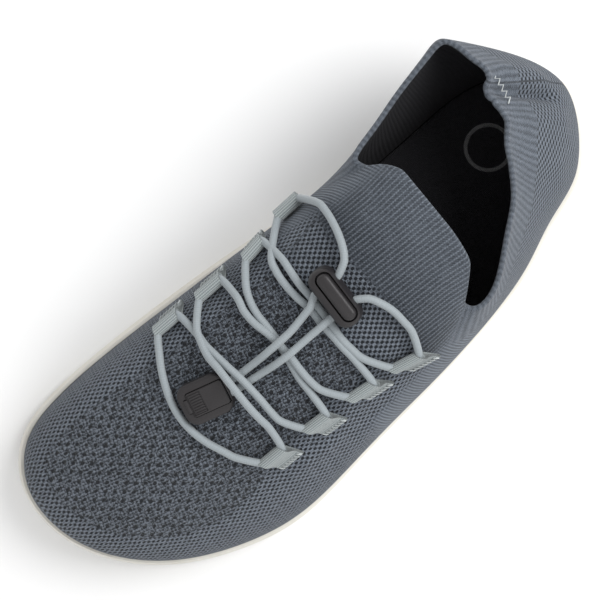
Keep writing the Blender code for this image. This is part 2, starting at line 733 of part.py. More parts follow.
def rounded(made, width, segments=3):
    """Round a piece's edges."""
    edge = made.modifiers.new("edges", "BEVEL")
    edge.width = width
    edge.segments = segments
    edge.limit_method = "ANGLE"
    edge.angle_limit = math.radians(30)


def cut_with(made, cutter):
    """Cut a piece with a hidden cutter."""
    cutter.display_type = "WIRE"
    cutter.hide_render = True
    cut = made.modifiers.new("cut", "BOOLEAN")
    cut.operation = "DIFFERENCE"
    cut.solver = "EXACT"
    cut.object = cutter


def make_lock(knit, parts, cutters, look):
    """The cord lock: a rounded shell with a slot, and the plunger that shows in it."""
    frame = seat_on_knit(knit, LOCK_PLACE, LOCK_TURN, LOCK_SEAT_LENGTH, LOCK_SEAT_WIDTH)
    body = block(LOCK_LENGTH, LOCK_WIDTH, LOCK_CORNER, 0.0, LOCK_HEIGHT)
    shell = add_object("lock_shell", body, parts, look)
    shell.matrix_world = frame
    rounded(shell, LOCK_ROUNDING)
    floor = LOCK_HEIGHT - LOCK_SLOT_DEPTH
    slot = block(LOCK_SLOT_LENGTH, LOCK_SLOT_WIDTH, 0.4 * LOCK_SLOT_WIDTH, floor, 2 * LOCK_HEIGHT)
    cutter = add_object("lock_slot", slot, cutters, look)
    cutter.matrix_world = frame
    cut_with(shell, cutter)
    length = LOCK_SLOT_LENGTH - 2 * CLEARANCE
    width = LOCK_SLOT_WIDTH - 2 * CLEARANCE
    rib = block(length, width, 0.4 * width, floor + CLEARANCE, LOCK_HEIGHT + CLEARANCE)
    plunger = add_object("lock_plunger", rib, parts, look)
    plunger.matrix_world = frame
    rounded(plunger, 0.2 * width, 2)
    return shell


def make_clip(knit, parts, cutters, look):
    """The clip that ends the lace: a case, and the lid set in its top."""
    frame = seat_on_knit(knit, CLIP_PLACE, CLIP_TURN, CLIP_LENGTH, CLIP_WIDTH)
    body = block(CLIP_LENGTH, CLIP_WIDTH, CLIP_CORNER, 0.0, CLIP_HEIGHT)
    case = add_object("clip_case", body, parts, look)
    case.matrix_world = frame
    rounded(case, CLIP_ROUNDING)
    shift = Matrix.Translation((-LID_SHIFT, 0.0, 0.0))
    floor = CLIP_HEIGHT - LID_DEPTH
    seat = block(LID_LENGTH, LID_WIDTH, LID_CORNER, floor, 2 * CLIP_HEIGHT)
    cutter = add_object("lid_seat", seat, cutters, look)
    cutter.matrix_world = frame @ shift
    cut_with(case, cutter)
    length = LID_LENGTH - 2 * CLEARANCE
    width = LID_WIDTH - 2 * CLEARANCE
    plate = block(length, width, LID_CORNER, floor + CLEARANCE, CLIP_HEIGHT + LID_PROUD)
    lid = add_object("clip_lid", plate, parts, look)
    lid.matrix_world = frame @ shift
    rounded(lid, 0.5 * LID_PROUD, 2)
    return case


def main():
    for old in list(bpy.data.objects):
        bpy.data.objects.remove(old, do_unlink=True)
    parts = bpy.data.collections.new("knit_barefoot_shoe")
    cutters = bpy.data.collections.new("cutters")
    bpy.context.scene.collection.children.link(parts)
    bpy.context.scene.collection.children.link(cutters)
    rubber = material("sole_rubber", (0.80, 0.77, 0.70), 0.55)
    foam = material("insole_foam", (0.010, 0.010, 0.013), 0.95)
    knit = material("grey_knit", (0.115, 0.130, 0.150), 0.90)
    make_outsole(parts, cutters, rubber)
    make_insole(parts, foam)
    make_upper(parts, knit)
    webbing = material("grey_webbing", (0.30, 0.34, 0.35), 0.80)
    elastic = material("grey_elastic", (0.38, 0.41, 0.44), 0.75)
    plastic = material("black_plastic", (0.030, 0.028, 0.030), 0.45)
    face = Knit()
    tabs = [make_tab(tab, face, parts, webbing) for tab in TABS]
    lock = make_lock(face, parts, cutters, plastic)
    clip = make_clip(face, parts, cutters, plastic)
    make_laces(face, tabs, [lock, clip], parts, elastic)


if __name__ == "__main__":
    main()
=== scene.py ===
"""Looks of the knit barefoot shoe: the dense knit, its lining, webbing, lace, fittings and sole.

The frame is the part's own: +X is the toe, +Y the outer side of this left shoe, +Z up.
"""

import itertools
import json
import math
from collections import namedtuple

import bmesh
import bpy
import numpy as np
from mathutils import Matrix, Vector
from mathutils.bvhtree import BVHTree
from mathutils.geometry import tessellate_polygon
from mathutils.kdtree import KDTree

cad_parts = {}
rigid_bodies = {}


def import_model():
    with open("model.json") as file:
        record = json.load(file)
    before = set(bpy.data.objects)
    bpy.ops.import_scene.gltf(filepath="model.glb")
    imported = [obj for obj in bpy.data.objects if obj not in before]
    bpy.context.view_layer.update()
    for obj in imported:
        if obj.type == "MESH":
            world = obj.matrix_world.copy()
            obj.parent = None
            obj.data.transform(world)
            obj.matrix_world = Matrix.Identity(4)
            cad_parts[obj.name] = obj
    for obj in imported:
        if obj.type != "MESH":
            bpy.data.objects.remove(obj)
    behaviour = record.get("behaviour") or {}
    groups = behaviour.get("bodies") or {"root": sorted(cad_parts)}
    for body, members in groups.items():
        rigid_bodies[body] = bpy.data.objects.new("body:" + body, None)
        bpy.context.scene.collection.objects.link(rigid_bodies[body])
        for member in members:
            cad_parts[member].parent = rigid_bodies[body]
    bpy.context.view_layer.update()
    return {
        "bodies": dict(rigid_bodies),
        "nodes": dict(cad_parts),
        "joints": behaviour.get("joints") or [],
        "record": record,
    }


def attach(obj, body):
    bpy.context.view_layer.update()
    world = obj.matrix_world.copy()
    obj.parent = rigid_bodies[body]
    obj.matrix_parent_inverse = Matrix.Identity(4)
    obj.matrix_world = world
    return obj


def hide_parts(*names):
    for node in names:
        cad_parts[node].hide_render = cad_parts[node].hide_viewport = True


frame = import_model()

MM = 0.001

# The part's own sizes, repeated here
SHOE_LENGTH = 0.2560
BALL_WIDTH = 0.0968
TONGUE_HEIGHT = 0.0880
CLEARANCE = 0.0003
SOLE_FLOOR = 0.0045
RIM_HEIGHT = 0.0095
RIM_WIDTH = 0.0024
RIM_STEP = 0.0009
TREAD_INSET = 0.0035
TOE_SPRING = 0.0055
TOE_SPRING_START = 0.62
TOE_BUMPER = 0.0016
KNIT_WALL = 0.0020
INSOLE_THICKNESS = 0.0030
INSOLE_DOME = 0.0012
TAB_LENGTH = 0.0105
TAB_PLY = 0.0008
TAB_EYE_PLAY = 0.0003
LACE_DIAMETER = 0.0028
LACE_STEP = 0.0060
SEAT_LEAN = 0.9
CAD_COLUMNS = 72
CAD_ROWS = 16
HALF_SIZES = np.array([SHOE_LENGTH / 2, BALL_WIDTH / 2])

# Where a flat base is tested, in shares of its length and width
BASE_SHARES = (-0.5, -0.25, 0.0, 0.25, 0.5)

# The angle in degrees between faces over which an edge stays sharp
SHARP_ANGLE = 40.0
SOLE_SHARP_ANGLE = 50.0
ROUNDED_ANGLE = 30.0

# How finely the looks are divided
KNIT_COLUMNS = 840
KNIT_ROWS = 100
SOLE_COLUMNS = 480
CURVE_PARTS = 12
TUBE_SIDES = 14
THREAD_SIDES = 6
LOCK_HOLE_SIDES = 28
CORNER_STEPS = 10

# The photo's camera: straight down, a metre above the floor, and rolled
CAMERA_PLACE = (-0.0015, -0.0549, 1.0)
CAMERA_RIGHT = (-0.7771, 0.6293, 0.0)
CAMERA_UP = (-0.6293, -0.7771, 0.0)
PHOTO_SPAN = 0.2733
FRAME_SPAN = 500.0
FRAME_CENTRE = (350.0, 371.0)

# The grooves across the tread
LUG_DEPTH = 0.0012
LUG_PITCH = 0.0125
GROOVE_WIDTH = 0.0022
TREAD_BACK = 0.92
CUTTER_REACH = 1.6

# Cord lock on the instep, lying across the shoe
LOCK_LENGTH = 0.0235
LOCK_WIDTH = 0.0098
LOCK_HEIGHT = 0.0098
LOCK_CORNER = 0.0044
LOCK_ROUNDING = 0.0026
LOCK_SLOT_DEPTH = 0.0030
LOCK_SEAT_LENGTH = 0.0165
LOCK_SEAT_WIDTH = 0.0050
LOCK_PLACE = (-0.086, -0.243)
LOCK_TURN = 88.0

# Clip that ends the lace
CLIP_LENGTH = 0.0190
CLIP_WIDTH = 0.0155
CLIP_HEIGHT = 0.0050
CLIP_CORNER = 0.0046
CLIP_ROUNDING = 0.0012
LID_WIDTH = 0.0096
LID_CORNER = 0.0010
LID_DEPTH = 0.0016
LID_PROUD = 0.0008
CLIP_PLACE = (0.378, -0.244)
CLIP_TURN = -12.5

SolePoint = namedtuple("SolePoint", "inset height on_rim")

# The outsole's side from the ground face up over the rim and down to its floor. The points
# on the rim are raised over the toe by the bumper.
SOLE_SIDE = [
    (TREAD_INSET, 0.0, False),
    (0.45 * TREAD_INSET, 0.10 * RIM_HEIGHT, False),
    (0.10 * TREAD_INSET, 0.38 * RIM_HEIGHT, False),
    (0.0, 0.62 * RIM_HEIGHT, False),
    (RIM_STEP, 0.68 * RIM_HEIGHT, True),
    (RIM_STEP, 0.95 * RIM_HEIGHT, True),
    (1.5 * RIM_STEP, RIM_HEIGHT, True),
    (RIM_WIDTH, RIM_HEIGHT, True),
    (RIM_WIDTH, SOLE_FLOOR, False),
]

# The upper's curves from the sole up to its top edge, once round the shoe from the heel over
# the outer side. Each row is foot x and y, top x, y and z, then rise, bulge, reach and drop, in
# shares of half the length, half the ball width and the tongue's height. The reach is a share
# of the level way from the top to the foot.
STATIONS = [
    (-1.000, -0.31, -0.787, -0.72, 0.740, 0.30, 0.09, 0.10, 0.16),
    (-0.984, -0.13, -0.767, -0.58, 0.740, 0.30, 0.06, 0.20, 0.16),
    (-0.938, 0.08, -0.756, -0.44, 0.740, 0.30, 0.05, 0.20, 0.16),
    (-0.852, 0.31, -0.715, -0.29, 0.740, 0.30, 0.04, 0.20, 0.16),
    (-0.711, 0.46, -0.650, 0.00, 0.742, 0.30, 0.03, 0.22, 0.17),
    (-0.570, 0.62, -0.560, 0.22, 0.750, 0.30, 0.03, 0.25, 0.18),
    (-0.430, 0.72, -0.450, 0.45, 0.765, 0.30, 0.03, 0.28, 0.19),
    (-0.300, 0.78, -0.370, 0.51, 0.785, 0.33, 0.03, 0.36, 0.16),
    (-0.150, 0.84, -0.335, 0.44, 0.800, 0.35, 0.03, 0.46, 0.13),
    (0.020, 0.89, -0.352, 0.36, 0.855, 0.35, 0.03, 0.52, 0.20),
    (0.220, 0.96, -0.390, 0.25, 0.925, 0.34, 0.03, 0.57, 0.32),
    (0.414, 1.00, -0.410, 0.17, 0.962, 0.33, 0.03, 0.58, 0.42),
    (0.600, 0.90, -0.416, 0.08, 0.985, 0.34, 0.03, 0.60, 0.44),
    (0.780, 0.67, -0.420, -0.02, 0.994, 0.35, 0.04, 0.60, 0.45),
    (0.906, 0.36, -0.422, -0.11, 1.000, 0.36, 0.05, 0.60, 0.45),
    (0.975, 0.04, -0.422, -0.20, 1.000, 0.36, 0.06, 0.60, 0.45),
    (1.000, -0.29, -0.422, -0.29, 1.000, 0.36, 0.06, 0.60, 0.45),
    (0.982, -0.58, -0.422, -0.38, 0.997, 0.36, 0.05, 0.60, 0.45),
    (0.900, -0.85, -0.422, -0.47, 0.990, 0.35, 0.04, 0.60, 0.45),
    (0.760, -0.97, -0.422, -0.56, 0.980, 0.34, 0.03, 0.60, 0.44),
    (0.560, -1.00, -0.421, -0.65, 0.968, 0.33, 0.03, 0.58, 0.42),
    (0.340, -0.99, -0.412, -0.72, 0.940, 0.34, 0.04, 0.56, 0.34),
    (0.120, -0.96, -0.385, -0.80, 0.875, 0.35, 0.07, 0.48, 0.23),
    (-0.080, -0.91, -0.350, -0.87, 0.805, 0.34, 0.12, 0.36, 0.15),
    (-0.250, -0.87, -0.360, -0.96, 0.785, 0.32, 0.14, 0.20, 0.16),
    (-0.420, -0.87, -0.450, -1.03, 0.762, 0.30, 0.12, 0.05, 0.17),
    (-0.590, -0.89, -0.570, -1.12, 0.748, 0.30, 0.11, -0.05, 0.17),
    (-0.740, -0.89, -0.690, -1.19, 0.740, 0.30, 0.15, -0.15, 0.17),
    (-0.870, -0.79, -0.768, -1.17, 0.740, 0.30, 0.20, -0.20, 0.18),
    (-0.958, -0.59, -0.793, -0.93, 0.740, 0.30, 0.18, -0.05, 0.17),
]

Tab = namedtuple("Tab", "name toe_x toe_y heel_x heel_y lean_x lean_y")
TABS = [
    ("tab_lateral_1", -0.065, 0.384, -0.150, 0.418, -0.040, 0.180),
    ("tab_lateral_2", 0.077, 0.346, -0.002, 0.376, -0.038, 0.170),
    ("tab_lateral_3", 0.226, 0.346, 0.153, 0.349, -0.030, 0.170),
    ("tab_lateral_4", 0.383, 0.352, 0.309, 0.345, -0.033, 0.180),
    ("tab_medial_1", -0.086, -0.869, -0.169, -0.890, 0.000, -0.170),
    ("tab_medial_2", 0.055, -0.776, -0.017, -0.815, 0.000, -0.170),
    ("tab_medial_3", 0.229, -0.768, 0.143, -0.780, -0.010, -0.170),
    ("tab_medial_4", 0.383, -0.758, 0.302, -0.774, -0.014, -0.170),
]

# The lace's stretches over the knit. Each row is a place, as shares of half the length and
# half the ball width, and a level: 0 lies on the knit, and 1 lies on another cord.
CROSSINGS = {
    "lace_cross_rear": [
        [(-0.086, -0.869, 0.4), (-0.054, -0.862, 0.4), (-0.022, -0.806, 0.3), (0.004, -0.692, 0.1),
         (0.012, -0.554, 0.0), (0.010, -0.415, 0.0), (0.002, -0.297, 0.0), (0.003, -0.197, 0.0),
         (0.000, -0.038, 0.0), (-0.003, 0.122, 0.0), (-0.008, 0.277, 0.1), (-0.012, 0.350, 0.3)],
        [(-0.030, -0.810, 0.4), (-0.026, -0.743, 0.2), (-0.023, -0.614, 0.0),
         (-0.019, -0.489, 0.0), (-0.020, -0.369, 0.0), (-0.019, -0.229, 0.0), (-0.018, -0.097, 0.0),
         (-0.014, 0.055, 0.0), (-0.022, 0.186, 0.0), (-0.033, 0.291, 0.1), (-0.052, 0.370, 0.3)],
    ],
    "lace_cross_middle": [
        [(0.055, -0.776, 0.4), (0.089, -0.735, 0.3), (0.109, -0.655, 0.1), (0.123, -0.527, 0.0),
         (0.125, -0.380, 0.0), (0.127, -0.233, 0.0), (0.136, -0.092, 0.0), (0.145, 0.050, 0.0),
         (0.147, 0.184, 0.0), (0.146, 0.330, 0.3)],
        [(0.136, -0.782, 0.4), (0.135, -0.731, 0.5), (0.143, -0.632, 0.5), (0.150, -0.511, 0.5),
         (0.141, -0.397, 0.5), (0.131, -0.263, 0.5), (0.127, -0.107, 0.5), (0.128, 0.051, 0.5),
         (0.123, 0.202, 0.3), (0.104, 0.312, 0.2), (0.086, 0.352, 0.4)],
    ],
    "lace_cross_front": [
        [(0.240, -0.764, 0.4), (0.273, -0.714, 0.6), (0.292, -0.609, 0.8), (0.304, -0.499, 1.2),
         (0.303, -0.373, 1.9), (0.304, -0.159, 2.4), (0.304, 0.038, 2.0), (0.299, 0.235, 0.9),
         (0.300, 0.335, 0.4)],
        [(0.296, -0.768, 0.4), (0.290, -0.684, 0.3), (0.293, -0.589, 0.4), (0.282, -0.365, 1.2),
         (0.272, -0.193, 1.5), (0.267, -0.005, 1.3), (0.265, 0.191, 0.6), (0.250, 0.310, 0.3),
         (0.234, 0.346, 0.4)],
    ],
    "lace_toe_bar": [
        [(0.393, -0.752, 0.4), (0.408, -0.713, 0.3), (0.438, -0.579, 0.0), (0.466, -0.396, 0.0),
         (0.477, -0.224, 0.0), (0.469, -0.036, 0.0), (0.444, 0.140, 0.0), (0.420, 0.275, 0.1),
         (0.394, 0.345, 0.4)],
    ],
}
CORDS = {
    "lace_loop_medial": [
        (-0.174, -0.893, 0.4), (-0.190, -0.879, 0.4), (-0.202, -0.818, 0.2), (-0.198, -0.690, 0.1),
        (-0.184, -0.550, 0.4), (-0.162, -0.430, 0.8), (-0.134, -0.350, 1.0)],
    "lace_loop_lateral": [
        (-0.158, 0.424, 0.4), (-0.173, 0.373, 0.2), (-0.176, 0.251, 0.1), (-0.173, 0.116, 0.3),
        (-0.158, -0.002, 0.7), (-0.142, -0.070, 1.0), (-0.130, -0.130, 1.0)],
    "lace_end_a": [
        (-0.046, -0.330, 1.0), (-0.020, -0.305, 1.3), (0.041, -0.266, 1.3), (0.087, -0.242, 1.5),
        (0.148, -0.232, 1.8), (0.208, -0.225, 1.0), (0.256, -0.224, 0.4), (0.288, -0.224, 0.4)],
    "lace_end_b": [
        (-0.046, -0.150, 1.0), (-0.020, -0.138, 1.3), (0.062, -0.128, 1.4), (0.123, -0.121, 1.8),
        (0.160, -0.122, 1.7), (0.208, -0.130, 0.9), (0.258, -0.142, 0.4), (0.288, -0.146, 0.4)],
}

Crease = namedtuple("Crease", "start_x start_y end_x end_y width height above")

# Soft troughs (height below 0) and ridges in the knit, from the photo: each runs between
# two places in shares of the shoe, and shows above a level. It fades out along its run
# about each end, and over a rise above its level.
CREASES = [
    (-0.770, -0.70, -0.990, -0.18, 0.0023, -0.0038, 0.034),
    (-0.790, -0.88, -0.990, -0.33, 0.0036, 0.0020, 0.034),
    (-0.760, -0.48, -0.960, 0.00, 0.0045, 0.0010, 0.030),
    (-0.690, -0.20, -0.840, 0.16, 0.0045, 0.0008, 0.030),
    (0.150, 0.62, 0.330, 0.62, 0.0030, 0.0010, 0.015),
    (-0.775, -0.715, -0.790, -0.700, 0.0012, -0.0014, 0.060),
    (-0.766, -0.650, -0.782, -0.640, 0.0012, -0.0012, 0.060),
    (-0.760, -0.585, -0.776, -0.575, 0.0012, -0.0010, 0.060),
]
CREASE_START = (-0.15, 0.25)
CREASE_END = (0.75, 1.15)
CREASE_RISE = 0.008

# The zones of the knit in millimetres: the open band's width by place along the shoe on its
# outer and inner side, then where each stitch ends and how softly, and how far up from the
# rim the plain side reaches on the outer and the inner side
BAND_OUTER = ((-40.0, -6.0, 20.0, 45.0, 62.0, 75.0, 100.0, 128.0),
              (0.0, 26.0, 28.0, 27.0, 20.0, 16.0, 13.0, 12.0))
BAND_INNER = ((-40.0, 0.0, 40.0, 80.0, 110.0, 128.0), (0.0, 13.0, 16.0, 14.0, 12.0, 12.0))
BAND_BLEND = 1.0
NET_FRONT = (-1.0, 2.0)
TONGUE_FRONT = (-21.5, 1.5)
SIDE_FRONT = (12.0, 8.0)
HEEL_FRONT = (-42.0, 4.0)
COLLAR_FRONT = (-30.0, 4.0)
COLLAR_DEPTH = (19.0, 1.0)
COLLAR_BRIM = (72.0, 3.0)
SIDE_REACH = (12.0, 5.0)
SIDE_BLEND = 3.0

# How far apart the stitches of each zone lie, in millimetres
PIN_PITCHES = (5.4, 4.4)
SMALL_PIN_PITCHES = (2.7, 4.4)
BAND_PITCHES = (2.90, 2.10)
NET_PITCHES = (2.70, 2.30)
HEEL_PITCHES = (2.3, 2.0)
TONGUE_PITCH = 1.65
COLLAR_PITCH = 2.3

# The looks' colours, each from dark to pale, and the knit's depth
KNIT_COLOURS = ((0.005, 0.008, 0.013), (0.192, 0.221, 0.264))
LINING_COLOURS = ((0.004, 0.004, 0.006), (0.010, 0.0095, 0.013))
INSOLE_COLOURS = ((0.005, 0.005, 0.007), (0.018, 0.017, 0.022))
RING_COLOUR = (0.26, 0.26, 0.265)
RUBBER_COLOURS = ((0.66, 0.635, 0.57), (0.80, 0.78, 0.725))
WEBBING_COLOURS = ((0.16, 0.185, 0.19), (0.40, 0.44, 0.445))
ELASTIC_COLOURS = ((0.19, 0.22, 0.24), (0.38, 0.42, 0.44))
PLASTIC_COLOURS = ((0.012, 0.0105, 0.0115), (0.022, 0.019, 0.021))
THREAD_COLOURS = ((0.42, 0.45, 0.46), (0.62, 0.65, 0.65))
KNIT_BUMP = 0.0007

# The knit's rolled edge, and the lining inside it
LIP_ANGLES = (20.0, 45.0, 70.0, 90.0, 110.0, 135.0, 160.0)
LIP_ROWS = (-1, -2, -3)
LINING_ROWS = 3
LINING_COLUMNS = 4
LINING_GAP = 0.0001

# Slices across the shoe for lengths over the knit
SLICE_FIRST = -0.040
SLICE_LAST = 0.127
SLICE_STEP = 0.002
SLICE_ANGLE = 94.0
SLICE_RAYS = 189
SLICE_SIDE = -0.20
SLICE_LEVEL = 0.011

# How finely the smaller pieces are divided, and the folded section of a tab
SOLE_STRIPS = 12
INSOLE_COLUMNS = 240
INSOLE_STRIPS = 24
TAB_RING = LACE_DIAMETER / 2 + TAB_EYE_PLAY + TAB_PLY
TAB_ARC = 16
TAB_SLOPE = 8
TAB_CROSS = 14
TAB_BOW = 0.12
TAB_NECK = 2.1 * TAB_PLY
TAB_SLOPE_RUN = 2.1 * TAB_RING
TAB_END = 1.6 * TAB_PLY

# How the lace finds its way over the knit, and into the webbing's eyes
LACE_ROUNDS = 6
LACE_SHARE = 0.7
LACE_PLAY = 1.2 * CLEARANCE
EYE_REACH = 0.0090
EYE_SPACE = 0.0028
EYE_MOUTH = 0.425
EYE_INSIDE = 0.05

# The braid of the lace's cover: its pitch in millimetres and its strands each way round
BRAID_PITCH = 1.7
BRAID_STRANDS = 6.0

# The tabs' stitches
STITCH_WIDTH = 0.00060
STITCH_TURNS = 13
STITCH_NEAR = 0.0004
STITCH_FAR = 0.0020
STITCH_SPREAD = 0.92

# The zigzag at the back seam, in shares of the shoe
HEEL_START = (-0.806, -0.76)
HEEL_END = (-0.792, -0.53)
HEEL_SWING = 0.008
HEEL_TURNS = 9

# Details of the cord lock
RIDGE_LENGTH = 0.0192
RIDGE_WIDTH = 0.0050
RIDGE_GAP = 0.0006
RIDGE_SHIFT = 0.0014
RIDGE_PROUD = 0.0012
RIDGE_FLAT = 0.05 * MM
RIDGE_ROUNDING = 0.38
LOCK_HOLES = (-0.0052, 0.0052)
LOCK_HOLE = 0.0034
LOCK_HOLE_LEVEL = 0.0042

# The cords' ways into the fittings
INLET_REACH = 0.0060
INLET_SPACE = 0.0045
CLIP_HOLES = (-0.0020, 0.0020)
CLIP_HOLE_LEVEL = 0.0026

# Details of the clip
LID_GAP = 0.00025
LID_TAB_LENGTH = 0.0014
LID_TAB_WIDTH = 0.0052
LID_TAB_CORNER = 0.2 * MM
LID_ROUNDING = 0.35 * MM
GRIP_RIBS = 8
GRIP_PITCH = 0.00098
GRIP_LENGTH = 0.0044
GRIP_PLACE = 0.0042
GRIP_DEPTH = 0.0004
GRIP_CORNER = 0.3 * MM
GRIP_ROUNDING = 0.08 * MM
LID_RUN = 0.0150
LID_BACK = 0.0014

# The floor, the daylight and the photo's size
SENSOR = 36.0
PHOTO_PIXELS = 600.0
FLOOR_WHITE = (0.90, 0.90, 0.90)
FLOOR_SPAN = 6.0
LIGHT_AIM = (0.0, 0.0, 0.03)
SKY_STRENGTH = 0.70
LIGHTS = [
    ("window", (-0.70, 0.10, 0.90), 0.80, 9.5),
    ("fill", (0.45, 0.60, 0.90), 0.90, 2.0),
]

# The plain printed ring on the insole, in millimetres
RING_PLACE = (-90.0, -15.8)
RING_RADIUS = 8.5
RING_EDGE = (0.55, 0.85)


def closed_spline(values, knots, samples):
    """A closed curve through the rows of values, smooth to its second derivative."""
    count = len(values)
    step = np.roll(knots, -1) - knots
    step[-1] = np.linalg.norm(values[0, :2] - values[-1, :2])
    slope = (np.roll(values, -1, axis=0) - values) / step[:, None]
    system = np.zeros((count, count))
    for row in range(count):
        before = step[row - 1]
        after = step[row]
        system[row, row - 1] += after
        system[row, row] += 2.0 * (before + after)
        system[row, (row + 1) % count] += before
    known = 3.0 * (np.roll(step, 1)[:, None] * slope + step[:, None] * np.roll(slope, 1, axis=0))
    tangent = np.linalg.solve(system, known)
    index = np.clip(np.searchsorted(knots, samples, side="right") - 1, 0, count - 1)
    follow = (index + 1) % count
    size = step[index][:, None]
    share = ((samples - knots[index]) / step[index])[:, None]
    return ((1 + 2 * share) * (1 - share) ** 2 * values[index]
            + share * (1 - share) ** 2 * size * tangent[index]
            + share ** 2 * (3 - 2 * share) * values[follow]
            + share ** 2 * (share - 1) * size * tangent[follow])


def meridians(columns):
    """The stations read at evenly spaced places round the sole, heel first."""
    sizes = (*HALF_SIZES, *HALF_SIZES, TONGUE_HEIGHT, TONGUE_HEIGHT, BALL_WIDTH / 2, 1.0, TONGUE_HEIGHT)
    rows = np.array(STATIONS) * np.array(sizes)
    edges = np.linalg.norm(np.roll(rows[:, :2], -1, axis=0) - rows[:, :2], axis=1)
    knots = np.concatenate([[0.0], np.cumsum(edges)[:-1]])
    toe = knots[len(rows) // 2 + 1]
    total = edges.sum()
    half = columns // 2
    outer = toe * np.arange(half) / half
    inner = toe + (total - toe) * np.arange(half) / half
    return closed_spline(rows, knots, np.concatenate([outer, inner]))


def outward(points):
    """The outward normal of a closed outline in the ground plane."""
    along = np.roll(points, -1, axis=0) - np.roll(points, 1, axis=0)
    normal = np.stack([-along[:, 1], along[:, 0]], axis=1)
    return normal / np.linalg.norm(normal, axis=1)[:, None]


def spring(x):
    """How far the sole has risen from the ground at x, towards the toe."""
    start = TOE_SPRING_START * SHOE_LENGTH / 2
    share = np.clip((x - start) / (SHOE_LENGTH / 2 - start), 0.0, None)
    return TOE_SPRING * share ** 2


def outline_ring(read, inset, height):
    """The sole's outline moved in by inset at a height above the sprung ground."""
    plan = read[:, :2] - inset * outward(read[:, :2])
    return np.column_stack([plan, height + spring(plan[:, 0])])


def upper_point(read, normal, foot_inset, foot_height, share):
    """Points of the knit's outer face at a share of the way from the sole to its top edge."""
    foot = outline_ring(read, foot_inset, foot_height)
    top = read[:, 2:5]
    rise, bulge, reach, drop = (read[:, column:column + 1] for column in range(5, 9))
    up = np.array([0.0, 0.0, 1.0])
    out = np.column_stack([normal, np.zeros(len(normal))])
    run = (foot - top) * np.array([1.0, 1.0, 0.0])
    lower = foot + out * bulge + up * rise
    upper = top + run * reach - up * drop
    rest = 1.0 - share
    return (rest ** 3 * foot + 3 * rest ** 2 * share * lower
            + 3 * rest * share ** 2 * upper + share ** 3 * top)


def knit_rings(columns, shares):
    """Rings of the knit's outer face, from inside the sole's rim to the collar and tongue."""
    read = meridians(columns)
    normal = outward(read[:, :2])
    inset = RIM_WIDTH + CLEARANCE
    hidden = outline_ring(read, inset, SOLE_FLOOR + CLEARANCE)
    shown = RIM_HEIGHT + TOE_BUMPER
    rings = [upper_point(read, normal, inset, shown, share) for share in shares]
    return np.array([hidden] + rings)


class Knit:
    """The knit's outer face as the part has it, for seating what lies on it."""

    def __init__(self):
        rings = knit_rings(CAD_COLUMNS, [row / CAD_ROWS for row in range(CAD_ROWS + 1)])
        points = [tuple(point) for ring in rings for point in ring]
        self.tree = BVHTree.FromPolygons(points, grid_faces(len(rings), CAD_COLUMNS))

    def below(self, place):
        """The knit's point and normal straight below a place given in shares."""
        x = place[0] * SHOE_LENGTH / 2
        y = place[1] * BALL_WIDTH / 2
        start = Vector((x, y, 2 * TONGUE_HEIGHT))
        point, normal, _, _ = self.tree.ray_cast(start, Vector((0, 0, -1)))
        if point is None:
            return self.nearest(Vector((x, y, TONGUE_HEIGHT / 2)))
        return point, normal if normal.z >= 0 else -normal

    def nearest(self, place):
        """The knit's point nearest to a place, and its normal turned up."""
        point, normal, _, _ = self.tree.find_nearest(place)
        return point, normal if normal.z >= 0 else -normal

    def height(self, place):
        """How far a place stands off the knit."""
        point, normal = self.nearest(place)
        return (place - point).dot(normal)

    def lift(self, matrix, corners):
        """How far a flat base has to move along its own Z to clear the knit."""
        lowest = min(self.height(matrix @ Vector(corner)) for corner in corners)
        return max(0.0, CLEARANCE - lowest) / SEAT_LEAN


def ring_quads(low, high, count):
    """The quads between two closed rings, whose points start at low and high, outer face out."""
    return [(low + (index + 1) % count, low + index, high + index, high + (index + 1) % count)
            for index in range(count)]


def grid_faces(rows, columns):
    """The quads between closed rings of points, outer face out."""
    return [quad for row in range(rows - 1)
            for quad in ring_quads(row * columns, (row + 1) * columns, columns)]


def grid_normals(grid):
    """Outward normals of rings of points."""
    round_way = np.roll(grid, -1, axis=1) - np.roll(grid, 1, axis=1)
    up_way = np.gradient(grid, axis=0)
    normal = np.cross(up_way, round_way)
    return normal / (np.linalg.norm(normal, axis=2)[..., None] + 1e-12)


def smooth_faces(data, angle=SHARP_ANGLE):
    """Smooth faces, with the edges over an angle kept sharp."""
    data.shade_smooth()
    if angle:
        data.set_sharp_from_angle(angle=math.radians(angle))


def add_object(name, data, frame=None):
    """A new object in the scene, in its frame."""
    made = bpy.data.objects.new(name, data)
    bpy.context.scene.collection.objects.link(made)
    if frame:
        made.matrix_world = frame
    return made


def add_mesh(name, points, faces, look, fields=None, creases=False):
    """A mesh object with its own fields: numbers that its material reads at each point."""
    data = bpy.data.meshes.new(name)
    data.from_pydata([tuple(point) for point in points], [], faces)
    for field, values in (fields or {}).items():
        layer = data.attributes.new(field, "FLOAT", "POINT")
        layer.data.foreach_set("value", np.asarray(values, dtype=np.float32).ravel())
    data.materials.append(look)
    smooth_faces(data, SHARP_ANGLE if creases else None)
    return add_object(name, data)


def add_rings(name, rings, look, fields):
    """A mesh object of closed rings of points."""
    return add_mesh(name, rings.reshape(-1, 3), grid_faces(*rings.shape[:2]), look, fields)


def shows(made, slot, *nodes):
    """Enter a piece: it rides on the shoe and stands for its CAD nodes. Its slot is not used."""
    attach(made, "root")
    if nodes:
        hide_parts(*nodes)
    return made


